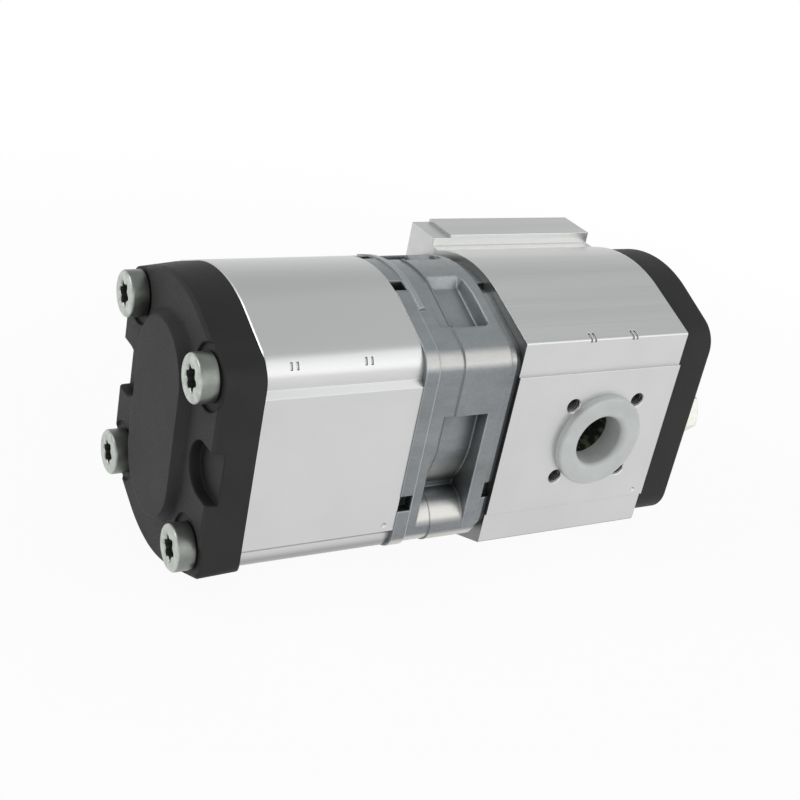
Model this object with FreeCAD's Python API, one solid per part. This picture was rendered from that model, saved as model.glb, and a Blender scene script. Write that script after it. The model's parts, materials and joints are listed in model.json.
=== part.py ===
import FreeCAD, Part
import math
import os

from FreeCAD import Vector

# Tandem external gear pump, in millimetres. The origin is the centre of the mounting face on the
# drive shaft's axis. X runs along the shaft towards its free end, Z points up to the idler axis,
# and the suction side is at negative Y. The two stages share one drive line and one suction port.

# Lengths along the shaft, from the mounting face backwards
FRONT_COVER_LENGTH = 14.5
FRONT_BODY_LENGTH = 70.0
FLANGE_LENGTH = 38.0
REAR_BODY_LENGTH = 55.0
REAR_COVER_LENGTH = 14.0

# Gear set shared by both stages
TEETH = 12
CENTRE_DISTANCE = 34.5
PRESSURE_ANGLE = 27.0
TIP_RADIUS = 20.2
ROOT_CLEARANCE = 0.4
BACKLASH = 0.10
JOURNAL_RADIUS = 9.0
BLOCK_LENGTH = 21.0

# Named clearances
TIP_GAP = 0.05
BLOCK_GAP = 0.05
BUSH_GAP = 0.04
FACE_GAP = 0.10
SEAL_GAP = 0.05
COUPLING_GAP = 0.05
SCREW_GAP = 0.30
PLUG_GAP = 0.05

# Outline of the front body, measured from the middle between the two axes
FRONT_TOP_HEIGHT = 51.1
FRONT_FOOT_HEIGHT = 50.6
FRONT_HALF_WIDTH = 40.0
FRONT_CROWN_RADIUS = 50.0
FRONT_SLOPE = 21.2
FRONT_CORNER_RADIUS = 0.8
FRONT_PAD_PROUD = 0.85
PAD_HALF_HEIGHT = 27.0
WEB_INNER_Y = 25.75
WEB_OUTER_Y = 41.5
WEB_HALF_HEIGHT = 50.4
WEB_FOOT_HEIGHT = 46.3
WEB_STEP_LENGTH = 7.1
WEB_STEP_DEPTH = 1.2

# Outline of the rear body, the flange and the rear cover; the body is narrower above its pads
REAR_TOP_HEIGHT = 50.2
REAR_FOOT_HEIGHT = 48.0
REAR_HALF_WIDTH = 41.7
REAR_BODY_HALF_WIDTH = 39.4
REAR_CROWN_RADIUS = 48.0
REAR_SLOPE = 24.0
REAR_CORNER_RADIUS = 10.5
REAR_FOOT_CORNER_RADIUS = 8.0
REAR_PAD_PROUD = 2.0
REAR_EDGE_CHAMFER = 0.5

# Through screws, M10 with 60 mm pitch both ways
SCREW_PITCH = 60.0
SCREW_RADIUS = 5.0
SCREW_HEAD_RADIUS = 7.85
SCREW_HEAD_HEIGHT = 6.7
SCREW_HEAD_CHAMFER = 0.8
SCREW_END_DEPTH = 2.5
SPOTFACE_RADIUS = 10.6
SPOTFACE_DEPTH = 1.0
SOCKET_TIP_RADIUS = 4.3
SOCKET_VALLEY_RADIUS = 3.1
SOCKET_DEPTH = 4.4
SOCKET_LOBES = 6

# Dowels between the sections
DOWEL_RADIUS = 3.0
DOWEL_HALF_LENGTH = 6.0
DOWEL_Y = 33.0

# Ring seals between the sections, midway between the gear chamber and the screws
RING_WIDTH = 2.4
RING_DEPTH = 2.0

# Seals in the backs of the bearing blocks
AXIAL_SEAL_OUTER = 19.4
AXIAL_SEAL_WIDTH = 1.1
BACKUP_WIDTH = 0.9
AXIAL_SEAL_DEPTH = 2.0

# Bushes
BUSH_WALL = 1.5
BUSH_INSET = 0.5
JOURNAL_INSET = 1.0

# Suction port on the near side of the front body
SUCTION_PORT_X = -44.3
SUCTION_PORT_RADIUS = 11.0
SUCTION_PORT_END = -5.0
SUCTION_HOLE_PITCH = 28.28
GALLERY_RADIUS = 6.0
GALLERY_Y = -15.5

# Pressure ports on the far side of both bodies
PRESSURE_PORT_RADIUS = 7.5
PRESSURE_HOLE_PITCH = 24.75

# Tapped port holes, M6
PORT_HOLE_RADIUS = 2.5
PORT_HOLE_DEPTH = 13.0
PORT_HOLE_CHAMFER = 0.4

# Port plugs
SUCTION_PLUG_FLANGE = 17.4
SUCTION_PLUG_WALL = 1.4
SUCTION_PLUG_REACH = 14.0
PRESSURE_PLUG_FLANGE = 12.0
PRESSURE_PLUG_WALL = 1.3
PRESSURE_PLUG_REACH = 10.0
PLUG_FLANGE_THICKNESS = 3.0
PLUG_EDGE_RADIUS = 1.0
PLUG_MOUTH_RADIUS = 2.2

# Front cover and shaft sealing
FRONT_COVER_TOP_HEIGHT = 50.5
FRONT_COVER_FOOT_HEIGHT = 49.8
FRONT_COVER_HALF_WIDTH = 39.1
FRONT_COVER_CROWN_RADIUS = 44.0
FRONT_COVER_SLOPE = 24.0
FRONT_COVER_CORNER_RADIUS = 11.0
FRONT_COVER_CHAMFER = 0.4
SPIGOT_RADIUS = 25.0
SPIGOT_LENGTH = 7.0
SPIGOT_CHAMFER = 1.0
SHAFT_BORE_RADIUS = 10.0
LIP_SEAL_RADIUS = 16.0
LIP_SEAL_LENGTH = 7.0
LIP_SEAL_SEAT = -4.0
LIP_SEAL_SHELL = 2.0
LIP_SEAL_LIP = 1.6
LIP_SEAL_RELIEF = 1.0
CIRCLIP_THICKNESS = 1.2
CIRCLIP_GROOVE_DEPTH = 0.8
CIRCLIP_INNER_RADIUS = 13.2
CIRCLIP_HALF_OPENING = 3.0
CIRCLIP_LUG_Y = 5.0
CIRCLIP_LUG_RADIUS = 2.2
CIRCLIP_EYE_RADIUS = 0.9
MOUNT_HOLE_HALF_Y = 31.0
MOUNT_HOLE_RADIUS = 4.25
MOUNT_HOLE_DEPTH = 12.0

# Shaft end, taper 1:5 with a disc key and an M12 nut
TAPER_START = 8.0
TAPER_LENGTH = 17.0
TAPER_BIG_RADIUS = 8.5
TAPER_RATIO = 0.1
THREAD_RADIUS = 6.0
THREAD_CORE_RADIUS = 5.3
THREAD_END = 38.0
THREAD_CHAMFER = 0.8
KEY_DISC_RADIUS = 6.5
KEY_WIDTH = 3.0
KEY_HEIGHT = 5.0
KEY_PROUD = 1.4
KEY_X = 15.5
WASHER_RADIUS = 10.5
WASHER_THICKNESS = 3.5
NUT_ACROSS_FLATS = 19.0
NUT_HEIGHT = 8.0
NUT_CHAMFER_ANGLE = 30.0
NUT_TURN = 12.0

# Coupling between the stages
CHAMBER_RADIUS = 15.0
COUPLING_RADIUS = 13.5
COUPLING_LENGTH = 14.0
COUPLING_CENTRE_FROM_FRONT = 13.5
TONGUE_WIDTH = 8.0
TONGUE_LENGTH = 5.9
STUB_RADIUS = 8.5
STUB_FACE_GAP = 0.5
TONGUE_END_GAP = 0.3
COUPLING_CHAMFER = 1.0

# Rear cover, drafted less at its foot than elsewhere
REAR_COVER_SHRINK = 0.3
REAR_COVER_DRAFT = 1.3
REAR_COVER_CHAMFER = 1.0
REAR_COVER_CORNER_RADIUS = 9.3
REAR_COVER_FOOT_HEIGHT = 49.3
REAR_COVER_FOOT_CORNER_RADIUS = 5.0
REAR_FACE_FOOT_HEIGHT = 51.3
REAR_FACE_FOOT_CORNER_RADIUS = 3.5
PANEL_RADIUS = 18.2
PANEL_HALF_PITCH = 16.5
PANEL_HEIGHT = 3.4
PANEL_DRAFT = 2.0
SIDE_POCKET_RADIUS = 9.3
SIDE_POCKET_Y = 33.4
SIDE_POCKET_DEPTH = 4.0

# Cast flange between the stages
FLANGE_RIM_LENGTH = 5.2
FLANGE_PARTING_FROM_REAR = 14.8
FLANGE_REAR_SHRINK = 0.8
FLANGE_FRONT_SHRINK = 0.3
FLANGE_FRONT_RIM_SHRINK = 1.9
FLANGE_FRONT_RIM_LENGTH = 4.8
FLANGE_FRONT_CORNER_RADIUS = 10.5
RIDGE_WIDTH = 2.3
RIDGE_PROUD = 1.2
RIDGE_HALF_SPAN = 22.0
POCKET_FRONT_FROM_REAR = 27.8
POCKET_REAR_FROM_REAR = 10.7
SLOPE_POCKET_INNER_Y = 6.5
SLOPE_POCKET_OUTER_Y = 30.2
SLOPE_POCKET_DEPTH = 4.9
SLOPE_POCKET_LEAN = 2.2
SLOPE_LEDGE_DEPTH = 1.8
SLOPE_FRONT_LEAN = 1.8
SLOPE_LEDGE_LENGTH = 5.0
SIDE_RECESS_TOP = 15.0
SIDE_RECESS_WIDENING = 1.6
SIDE_RECESS_WIDE_START = 0.75
SIDE_RECESS_WIDE_END = -2.25
SIDE_RECESS_WALL_Y = 35.75
SIDE_RECESS_BEND_START = -1.4
SIDE_RECESS_BEND_MIDDLE = (34.1, -8.8)
SIDE_RECESS_BEND_END = (30.5, -16.7)
TUNNEL_BOSS_RADIUS = 11.2
NOTCH_LENGTH = 4.8
NOTCH_TOP_WIDTH = 4.8
NOTCH_TOP_Y = 11.6
NOTCH_TOP_DEPTH = 4.5
NOTCH_SIDE_WIDTH = 6.0
NOTCH_SIDE_DEPTH = 4.0
NOTCH_DROP = 16.7
CROWN_MARK_FROM_FRONT = 6.5
CROWN_MARK_LENGTH = 13.5
CROWN_MARK_WIDTH = 6.0
CROWN_MARK_Y = 8.0
CROWN_MARK_DEPTH = 1.0

# Witness marks on the two bodies
TICK_WIDTH = 0.8
TICK_DEPTH = 0.5
TICK_HALF_HEIGHT = 1.1
FRONT_TICK_GAP = 1.7
FRONT_TICKS_FROM_REAR = (27.8, 46.0)
REAR_TICK_GAP = 2.1
REAR_TICKS_FROM_REAR = (9.8, 35.4)
REAR_TICK_Z = 35.9
DIMPLE_RADIUS = 0.9
DIMPLE_Z = -24.5
FRONT_DIMPLE_FROM_FRONT = 5.0
REAR_DIMPLE_FROM_FRONT = 4.0

# Cross pockets in the faces of the bearing blocks that let trapped oil escape
RELIEF_DEPTH = 1.2
RELIEF_INNER_Y = 2.4
RELIEF_OUTER_Y = 9.0
RELIEF_HALF_HEIGHT = 4.5

# Smallest corner that an outline keeps when it is drawn inwards
MIN_CORNER_RADIUS = 0.3

# Places that follow from the sizes above
MID_Z = CENTRE_DISTANCE / 2
AXES_Z = (0.0, CENTRE_DISTANCE)
FRONT_BODY_FRONT = -FRONT_COVER_LENGTH
FRONT_BODY_REAR = FRONT_BODY_FRONT - FRONT_BODY_LENGTH
REAR_BODY_FRONT = FRONT_BODY_REAR - FLANGE_LENGTH
REAR_BODY_REAR = REAR_BODY_FRONT - REAR_BODY_LENGTH
COVER_FACE = REAR_BODY_REAR - REAR_COVER_LENGTH
SCREW_SEAT = COVER_FACE + SPOTFACE_DEPTH
PITCH_RADIUS = CENTRE_DISTANCE / 2
BASE_RADIUS = PITCH_RADIUS * math.cos(math.radians(PRESSURE_ANGLE))
ROOT_RADIUS = CENTRE_DISTANCE - TIP_RADIUS - ROOT_CLEARANCE
CHAMBER_BORE_RADIUS = TIP_RADIUS + TIP_GAP
BLOCK_RADIUS = CHAMBER_BORE_RADIUS - BLOCK_GAP
BUSH_INNER_RADIUS = JOURNAL_RADIUS + BUSH_GAP
BUSH_OUTER_RADIUS = BUSH_INNER_RADIUS + BUSH_WALL
SCREW_HOLE_RADIUS = SCREW_RADIUS + SCREW_GAP
SCREW_DISTANCE = math.hypot(SCREW_PITCH / 2, SCREW_PITCH / 2 - MID_Z)
RING_OUTER_RADIUS = (CHAMBER_BORE_RADIUS + SCREW_DISTANCE - SCREW_HOLE_RADIUS + RING_WIDTH) / 2
FRONT_NEAR_PAD_Y = -(FRONT_HALF_WIDTH + FRONT_PAD_PROUD)
REAR_PAD_Y = REAR_BODY_HALF_WIDTH + REAR_PAD_PROUD
FRONT_GEAR_MID = FRONT_BODY_FRONT - FRONT_BODY_LENGTH / 2
REAR_GEAR_MID = REAR_BODY_FRONT - REAR_BODY_LENGTH / 2
TAPER_END = TAPER_START + TAPER_LENGTH
NUT_END = TAPER_END + WASHER_THICKNESS + NUT_HEIGHT
TAPER_SMALL_RADIUS = TAPER_BIG_RADIUS - TAPER_RATIO * TAPER_LENGTH
COUPLING_CENTRE = FRONT_BODY_REAR - COUPLING_CENTRE_FROM_FRONT
FRONT_SHOULDER_Z = (FRONT_TOP_HEIGHT - FRONT_CROWN_RADIUS
                    + FRONT_CROWN_RADIUS * math.cos(math.radians(FRONT_SLOPE)))
FRONT_SHOULDER_Y = FRONT_CROWN_RADIUS * math.sin(math.radians(FRONT_SLOPE))
REAR_SHOULDER_Z = (REAR_TOP_HEIGHT - REAR_CROWN_RADIUS
                   + REAR_CROWN_RADIUS * math.cos(math.radians(REAR_SLOPE)))
REAR_SHOULDER_Y = REAR_CROWN_RADIUS * math.sin(math.radians(REAR_SLOPE))
FRONT_CORNER_Z = FRONT_SHOULDER_Z - (FRONT_HALF_WIDTH - FRONT_SHOULDER_Y) * math.tan(
    math.radians(FRONT_SLOPE))

# Outlines: top height, foot height, half width, crown radius, slope, top and foot corner radius
FRONT_OUTLINE = (FRONT_TOP_HEIGHT, FRONT_FOOT_HEIGHT, FRONT_HALF_WIDTH, FRONT_CROWN_RADIUS,
                 FRONT_SLOPE, FRONT_CORNER_RADIUS, FRONT_CORNER_RADIUS)
FRONT_COVER_OUTLINE = (FRONT_COVER_TOP_HEIGHT, FRONT_COVER_FOOT_HEIGHT, FRONT_COVER_HALF_WIDTH,
                       FRONT_COVER_CROWN_RADIUS, FRONT_COVER_SLOPE, FRONT_COVER_CORNER_RADIUS,
                       FRONT_COVER_CORNER_RADIUS)
REAR_OUTLINE = (REAR_TOP_HEIGHT, REAR_FOOT_HEIGHT, REAR_HALF_WIDTH, REAR_CROWN_RADIUS, REAR_SLOPE,
                REAR_CORNER_RADIUS, REAR_FOOT_CORNER_RADIUS)
REAR_BODY_OUTLINE = (REAR_TOP_HEIGHT, REAR_FOOT_HEIGHT, REAR_BODY_HALF_WIDTH, REAR_CROWN_RADIUS,
                     REAR_SLOPE, REAR_CORNER_RADIUS, REAR_FOOT_CORNER_RADIUS)
FRONT_RIM_OUTLINE = REAR_OUTLINE[:5] + (FLANGE_FRONT_CORNER_RADIUS, FLANGE_FRONT_CORNER_RADIUS)
REAR_COVER_OUTLINE = (REAR_TOP_HEIGHT, REAR_COVER_FOOT_HEIGHT, REAR_HALF_WIDTH, REAR_CROWN_RADIUS,
                      REAR_SLOPE, REAR_COVER_CORNER_RADIUS, REAR_COVER_FOOT_CORNER_RADIUS)
REAR_FACE_OUTLINE = (REAR_TOP_HEIGHT, REAR_FACE_FOOT_HEIGHT, REAR_HALF_WIDTH, REAR_CROWN_RADIUS,
                     REAR_SLOPE, REAR_COVER_CORNER_RADIUS, REAR_FACE_FOOT_CORNER_RADIUS)
X_AXIS = Vector(1, 0, 0)
Y_AXIS = Vector(0, 1, 0)


def box(x0, x1, y0, y1, z0, z1):
    """A box between two corners."""
    return Part.makeBox(x1 - x0, y1 - y0, z1 - z0, Vector(x0, y0, z0))


def rod(radius, x0, x1, y=0.0, z=0.0):
    """A cylinder along X."""
    return Part.makeCylinder(radius, x1 - x0, Vector(x0, y, z), X_AXIS)


def cross_rod(radius, y0, y1, x, z):
    """A cylinder along Y."""
    return Part.makeCylinder(radius, y1 - y0, Vector(x, y0, z), Y_AXIS)


def tube(outer, inner, x0, x1, y=0.0, z=0.0):
    """A hollow cylinder along X."""
    return rod(outer, x0, x1, y, z).cut(rod(inner, x0, x1, y, z))


def cone(radius0, radius1, x0, x1, y=0.0, z=0.0):
    """A cone frustum along X."""
    return Part.makeCone(radius0, radius1, x1 - x0, Vector(x0, y, z), X_AXIS)


def mirror_y(shape):
    """The same shape on the other side of the shaft plane."""
    return shape.mirror(Vector(0, 0, 0), Y_AXIS)


def mirror_z(shape):
    """The same shape below the middle plane between the axes."""
    return shape.mirror(Vector(0, 0, MID_Z), Vector(0, 0, 1))


def crowned_quarter(height, width, crown, slope, corner):
    """Corner points of one quarter: end of the crown, then start, middle and end of the corner."""
    angle = math.radians(slope)
    crown_y = crown * math.sin(angle)
    crown_z = height - crown * (1 - math.cos(angle))
    corner_z = crown_z - (width - crown_y) * math.tan(angle)
    turn = math.pi / 2 - angle
    reach = corner * math.tan(turn / 2)
    start = (width - reach * math.cos(angle), corner_z + reach * math.sin(angle))
    middle = (width - corner + corner * math.cos(turn / 2),
              corner_z - reach + corner * math.sin(turn / 2))
    return (crown_y, crown_z), start, middle, (width, corner_z - reach)


def crowned_outline(x, outline, grow=0.0):
    """Closed outline with a crowned top and foot, sloping shoulders and rounded corners."""
    top, foot, width, crown, slope, top_corner, foot_corner = outline

    def at(point, side_y, side_z):
        return Vector(x, side_y * point[0], MID_Z + side_z * point[1])

    edges = []
    ends = []
    for side_z, height, corner in ((1, top, top_corner), (-1, foot, foot_corner)):
        crown_end, start, middle, end = crowned_quarter(
            height + grow, width + grow, crown + grow, slope, max(corner + grow, MIN_CORNER_RADIUS))
        edges.append(Part.Arc(at(crown_end, -1, side_z), at((0, height + grow), 1, side_z),
                              at(crown_end, 1, side_z)).toShape())
        for side_y in (1, -1):
            edges.append(Part.makeLine(at(crown_end, side_y, side_z), at(start, side_y, side_z)))
            edges.append(Part.Arc(at(start, side_y, side_z), at(middle, side_y, side_z),
                                  at(end, side_y, side_z)).toShape())
        ends.append(end)
    for side_y in (1, -1):
        edges.append(Part.makeLine(at(ends[0], side_y, 1), at(ends[1], side_y, -1)))
    return Part.Wire(Part.__sortEdges__(edges))


def crowned_block(x0, x1, outline, grow=0.0):
    """A straight block with a crowned outline."""
    return Part.Face(crowned_outline(x0, outline, grow)).extrude(Vector(x1 - x0, 0, 0))


def crowned_taper(x0, outline0, grow0, x1, outline1, grow1):
    """A block that changes from one crowned outline to another."""
    return Part.makeLoft([crowned_outline(x0, outline0, grow0), crowned_outline(x1, outline1, grow1)],
                         True, True)


def screw_places():
    """Centres of the four through screws."""
    half = SCREW_PITCH / 2
    return [(side_y * half, MID_Z + side_z * half) for side_y in (-1, 1) for side_z in (-1, 1)]


def dowel_places():
    """Centres of the two dowels in each joint."""
    return [(-DOWEL_Y, MID_Z), (DOWEL_Y, MID_Z)]


def screw_tunnels(x0, x1):
    """Clearance holes for the through screws."""
    return [rod(SCREW_HOLE_RADIUS, x0, x1, y, z) for y, z in screw_places()]


def dowel_pins(face_x):
    """Two dowels across the joint at face_x, which are also their holes."""
    return [rod(DOWEL_RADIUS, face_x - DOWEL_HALF_LENGTH, face_x + DOWEL_HALF_LENGTH, y, z)
            for y, z in dowel_places()]


def figure_eight(radius, x0, x1):
    """Two joined cylinders round the two gear axes."""
    return rod(radius, x0, x1).fuse(rod(radius, x0, x1, 0.0, CENTRE_DISTANCE)).removeSplitter()


def figure_eight_band(outer, width, x0, x1):
    """A closed band that follows both bores."""
    return figure_eight(outer, x0, x1).cut(figure_eight(outer - width, x0, x1))


def racetrack(radius, x0, x1):
    """A long round-ended block round both axes."""
    middle = box(x0, x1, -radius, radius, 0.0, CENTRE_DISTANCE)
    ends = [rod(radius, x0, x1, 0.0, z) for z in AXES_Z]
    return middle.multiFuse(ends).removeSplitter()


def ring_seal(x0, x1):
    """Seal that runs round the gear chamber in a joint."""
    return racetrack(RING_OUTER_RADIUS, x0, x1).cut(racetrack(RING_OUTER_RADIUS - RING_WIDTH, x0, x1))


def involute_point(radius, half_angle_at_base, side):
    """Point of a tooth flank at a radius, for a tooth centred on +Y."""
    roll = math.sqrt(max((radius / BASE_RADIUS) ** 2 - 1, 0.0))
    angle = half_angle_at_base - (roll - math.atan(roll))
    return Vector(0, radius * math.cos(side * angle), radius * math.sin(side * angle))


def gear(x0, x1, z, turn):
    """Spur gear with involute flanks; turn is its rotation in degrees about X."""
    pressure = math.radians(PRESSURE_ANGLE)
    arc_thickness = math.pi * PITCH_RADIUS / TEETH - BACKLASH / 2
    half_angle = arc_thickness / (2 * PITCH_RADIUS) + math.tan(pressure) - pressure
    radii = [BASE_RADIUS + (TIP_RADIUS - BASE_RADIUS) * step / 8 for step in range(9)]
    edges = []
    tooth_angle = 2 * math.pi / TEETH
    for tooth in range(TEETH):
        rotation = FreeCAD.Rotation(X_AXIS, math.degrees(tooth * tooth_angle) + turn)
        next_rotation = FreeCAD.Rotation(X_AXIS, math.degrees((tooth + 1) * tooth_angle) + turn)

        def place(point, spin=rotation):
            return spin.multVec(point) + Vector(x0, 0, z)

        flanks = {}
        for side in (-1, 1):
            curve = Part.BSplineCurve()
            curve.interpolate([place(involute_point(r, half_angle, side)) for r in radii])
            flanks[side] = curve.toShape()
        tip_low = place(involute_point(TIP_RADIUS, half_angle, -1))
        tip_high = place(involute_point(TIP_RADIUS, half_angle, 1))
        tip = Part.Arc(tip_low, place(Vector(0, TIP_RADIUS, 0)), tip_high).toShape()
        root_low = place(Vector(0, ROOT_RADIUS * math.cos(half_angle), ROOT_RADIUS * math.sin(half_angle)))
        base_low = place(involute_point(BASE_RADIUS, half_angle, 1))
        root_high = place(Vector(0, ROOT_RADIUS * math.cos(half_angle),
                                 -ROOT_RADIUS * math.sin(half_angle)), next_rotation)
        base_high = place(involute_point(BASE_RADIUS, half_angle, -1), next_rotation)
        middle = FreeCAD.Rotation(X_AXIS, math.degrees((tooth + 0.5) * tooth_angle) + turn)
        root = Part.Arc(root_low, place(Vector(0, ROOT_RADIUS, 0), middle), root_high).toShape()
        edges += [flanks[-1], tip, flanks[1], Part.makeLine(base_low, root_low), root,
                  Part.makeLine(root_high, base_high)]
    wire = Part.Wire(Part.__sortEdges__(edges))
    return Part.Face(wire).extrude(Vector(x1 - x0, 0, 0))


def bolt_holes(x, pitch, y0, y1):
    """Four tapped port holes in a square, drilled between y0 and y1."""
    holes = []
    for side_x in (-1, 1):
        for side_z in (-1, 1):
            hole_x = x + side_x * pitch / 2
            hole_z = MID_Z + side_z * pitch / 2
            holes.append(cross_rod(PORT_HOLE_RADIUS, y0, y1, hole_x, hole_z))
    return holes


def hole_chamfers(x, pitch, face_y, inward):
    """Small countersinks at the mouths of the port holes; inward is the drilling direction."""
    cones = []
    for side_x in (-1, 1):
        for side_z in (-1, 1):
            place = Vector(x + side_x * pitch / 2, face_y, MID_Z + side_z * pitch / 2)
            mouth = PORT_HOLE_RADIUS + PORT_HOLE_CHAMFER
            cones.append(Part.makeCone(mouth, PORT_HOLE_RADIUS, PORT_HOLE_CHAMFER, place,
                                       Vector(0, inward, 0)))
    return cones


def tick_marks(x, gap, outline, half_width, z):
    """Two short witness grooves across the near shoulder corner."""
    marks = []
    for side in (-1, 1):
        centre = x + side * gap / 2
        marks.append(box(centre - TICK_WIDTH / 2, centre + TICK_WIDTH / 2,
                         -half_width - 1, -half_width / 2, z - TICK_HALF_HEIGHT, z + TICK_HALF_HEIGHT))
    shell = crowned_block(x - gap * 2, x + gap * 2, outline, 1.0)
    core = crowned_block(x - gap * 2, x + gap * 2, outline, -TICK_DEPTH)
    band = shell.cut(core)
    return [mark.common(band) for mark in marks]


def dimple(x, face_y):
    """A small drilled centre mark on the near pad."""
    return Part.makeCone(DIMPLE_RADIUS, 0.0, DIMPLE_RADIUS, Vector(x, face_y, MID_Z + DIMPLE_Z), Y_AXIS)


def chamber(x0, x1):
    """The bored gear chamber."""
    return figure_eight(CHAMBER_BORE_RADIUS, x0, x1)


def front_cover():
    """Mounting cover with its spigot, shaft bore and seal seat."""
    rear = FRONT_BODY_FRONT
    edge = -FRONT_COVER_CHAMFER
    plate = crowned_block(rear, edge, FRONT_COVER_OUTLINE)
    plate = plate.fuse(crowned_taper(edge, FRONT_COVER_OUTLINE, 0.0,
                                     0.0, FRONT_COVER_OUTLINE, -FRONT_COVER_CHAMFER))
    spigot = rod(SPIGOT_RADIUS, -FRONT_COVER_CHAMFER, SPIGOT_LENGTH - SPIGOT_CHAMFER)
    lead = cone(SPIGOT_RADIUS, SPIGOT_RADIUS - SPIGOT_CHAMFER, SPIGOT_LENGTH - SPIGOT_CHAMFER,
                SPIGOT_LENGTH)
    body = plate.multiFuse([spigot, lead]).removeSplitter()
    cuts = [rod(SHAFT_BORE_RADIUS, rear - 1, SPIGOT_LENGTH + 1)]
    cuts.append(rod(LIP_SEAL_RADIUS, LIP_SEAL_SEAT, SPIGOT_LENGTH + 1))
    groove_x = LIP_SEAL_SEAT + LIP_SEAL_LENGTH
    cuts.append(rod(LIP_SEAL_RADIUS + CIRCLIP_GROOVE_DEPTH, groove_x, groove_x + CIRCLIP_THICKNESS))
    for y, z in screw_places():
        cuts.append(rod(SCREW_RADIUS, rear - 1, -SCREW_END_DEPTH + 1, y, z))
    for side_y in (-1, 1):
        for z in AXES_Z:
            cuts.append(rod(MOUNT_HOLE_RADIUS, -MOUNT_HOLE_DEPTH, 1, side_y * MOUNT_HOLE_HALF_Y, z))
    cuts += dowel_pins(rear)
    return body.cut(cuts)


def shaft_seal():
    """Lip seal with a lip that leans towards the gears."""
    x0 = LIP_SEAL_SEAT
    x1 = x0 + LIP_SEAL_LENGTH
    body = tube(LIP_SEAL_RADIUS, JOURNAL_RADIUS + SEAL_GAP, x0, x1)
    recess = tube(LIP_SEAL_RADIUS - LIP_SEAL_SHELL, JOURNAL_RADIUS + LIP_SEAL_LIP, x0 - 1,
                  x1 - LIP_SEAL_SHELL)
    wide = JOURNAL_RADIUS + LIP_SEAL_RELIEF
    relief = cone(wide, JOURNAL_RADIUS + SEAL_GAP, x0 + LIP_SEAL_SHELL, x1 - LIP_SEAL_LIP)
    relief = relief.fuse(rod(wide, x0 - 1, x0 + LIP_SEAL_SHELL))
    front = cone(JOURNAL_RADIUS + SEAL_GAP, wide, x1 - LIP_SEAL_RELIEF, x1)
    return body.cut([recess, relief, front])


def seal_retaining_ring():
    """Internal circlip in front of the lip seal."""
    x0 = LIP_SEAL_SEAT + LIP_SEAL_LENGTH
    x1 = x0 + CIRCLIP_THICKNESS
    ring = tube(LIP_SEAL_RADIUS + CIRCLIP_GROOVE_DEPTH, CIRCLIP_INNER_RADIUS, x0, x1)
    opening = box(x0, x1, -CIRCLIP_HALF_OPENING, CIRCLIP_HALF_OPENING, -2 * LIP_SEAL_RADIUS, 0.0)
    lug_places = [(side * CIRCLIP_LUG_Y, -CIRCLIP_INNER_RADIUS) for side in (-1, 1)]
    lugs = [rod(CIRCLIP_LUG_RADIUS, x0, x1, y, z) for y, z in lug_places]
    eyes = [rod(CIRCLIP_EYE_RADIUS, x0, x1, y, z) for y, z in lug_places]
    return ring.cut(opening).multiFuse(lugs).cut(eyes)


def body_cuts(front, rear, gear_mid):
    """Everything that is bored through a pump body."""
    cuts = [chamber(rear - 1, front + 1)]
    cuts += screw_tunnels(rear - 1, front + 1)
    cuts += dowel_pins(front)
    cuts += dowel_pins(rear)
    cuts.append(ring_seal(front - RING_DEPTH, front))
    cuts.append(ring_seal(rear, rear + RING_DEPTH))
    cuts.append(cross_rod(PRESSURE_PORT_RADIUS, 0.0, WEB_OUTER_Y + 1, gear_mid, MID_Z))
    return cuts


def front_body():
    """Extruded body of the front stage with the suction port and a squared pressure side."""
    front = FRONT_BODY_FRONT
    rear = FRONT_BODY_REAR
    body = crowned_block(rear, front, FRONT_OUTLINE)
    web = box(rear, front, WEB_INNER_Y, WEB_OUTER_Y, MID_Z - WEB_HALF_HEIGHT, MID_Z + WEB_HALF_HEIGHT)
    pad = box(rear, front, FRONT_NEAR_PAD_Y, 0.0, MID_Z - PAD_HALF_HEIGHT, MID_Z + PAD_HALF_HEIGHT)
    foot = box(rear, front, 0.0, WEB_INNER_Y + 1, MID_Z - WEB_FOOT_HEIGHT, MID_Z + WEB_FOOT_HEIGHT)
    body = body.multiFuse([web, foot, pad]).removeSplitter()
    cuts = body_cuts(front, rear, FRONT_GEAR_MID)
    step = box(rear - 1, rear + WEB_STEP_LENGTH, WEB_INNER_Y - 1, WEB_OUTER_Y + 1,
               MID_Z + WEB_HALF_HEIGHT - WEB_STEP_DEPTH, MID_Z + WEB_HALF_HEIGHT + 1)
    cuts += [step, mirror_z(step)]
    cuts.append(cross_rod(SUCTION_PORT_RADIUS, FRONT_NEAR_PAD_Y - 1, SUCTION_PORT_END, SUCTION_PORT_X,
                          MID_Z))
    cuts.append(rod(GALLERY_RADIUS, rear - 1, SUCTION_PORT_X, GALLERY_Y, MID_Z))
    cuts += bolt_holes(SUCTION_PORT_X, SUCTION_HOLE_PITCH, FRONT_NEAR_PAD_Y - 1,
                       FRONT_NEAR_PAD_Y + PORT_HOLE_DEPTH)
    cuts += hole_chamfers(SUCTION_PORT_X, SUCTION_HOLE_PITCH, FRONT_NEAR_PAD_Y, 1)
    cuts += bolt_holes(FRONT_GEAR_MID, PRESSURE_HOLE_PITCH, WEB_OUTER_Y - PORT_HOLE_DEPTH,
                       WEB_OUTER_Y + 1)
    cuts += hole_chamfers(FRONT_GEAR_MID, PRESSURE_HOLE_PITCH, WEB_OUTER_Y, -1)
    for place in FRONT_TICKS_FROM_REAR:
        cuts += tick_marks(rear + place, FRONT_TICK_GAP, FRONT_OUTLINE, FRONT_HALF_WIDTH,
                           MID_Z + FRONT_CORNER_Z)
    cuts.append(dimple(front - FRONT_DIMPLE_FROM_FRONT, FRONT_NEAR_PAD_Y))
    return body.cut(cuts).removeSplitter()


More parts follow.
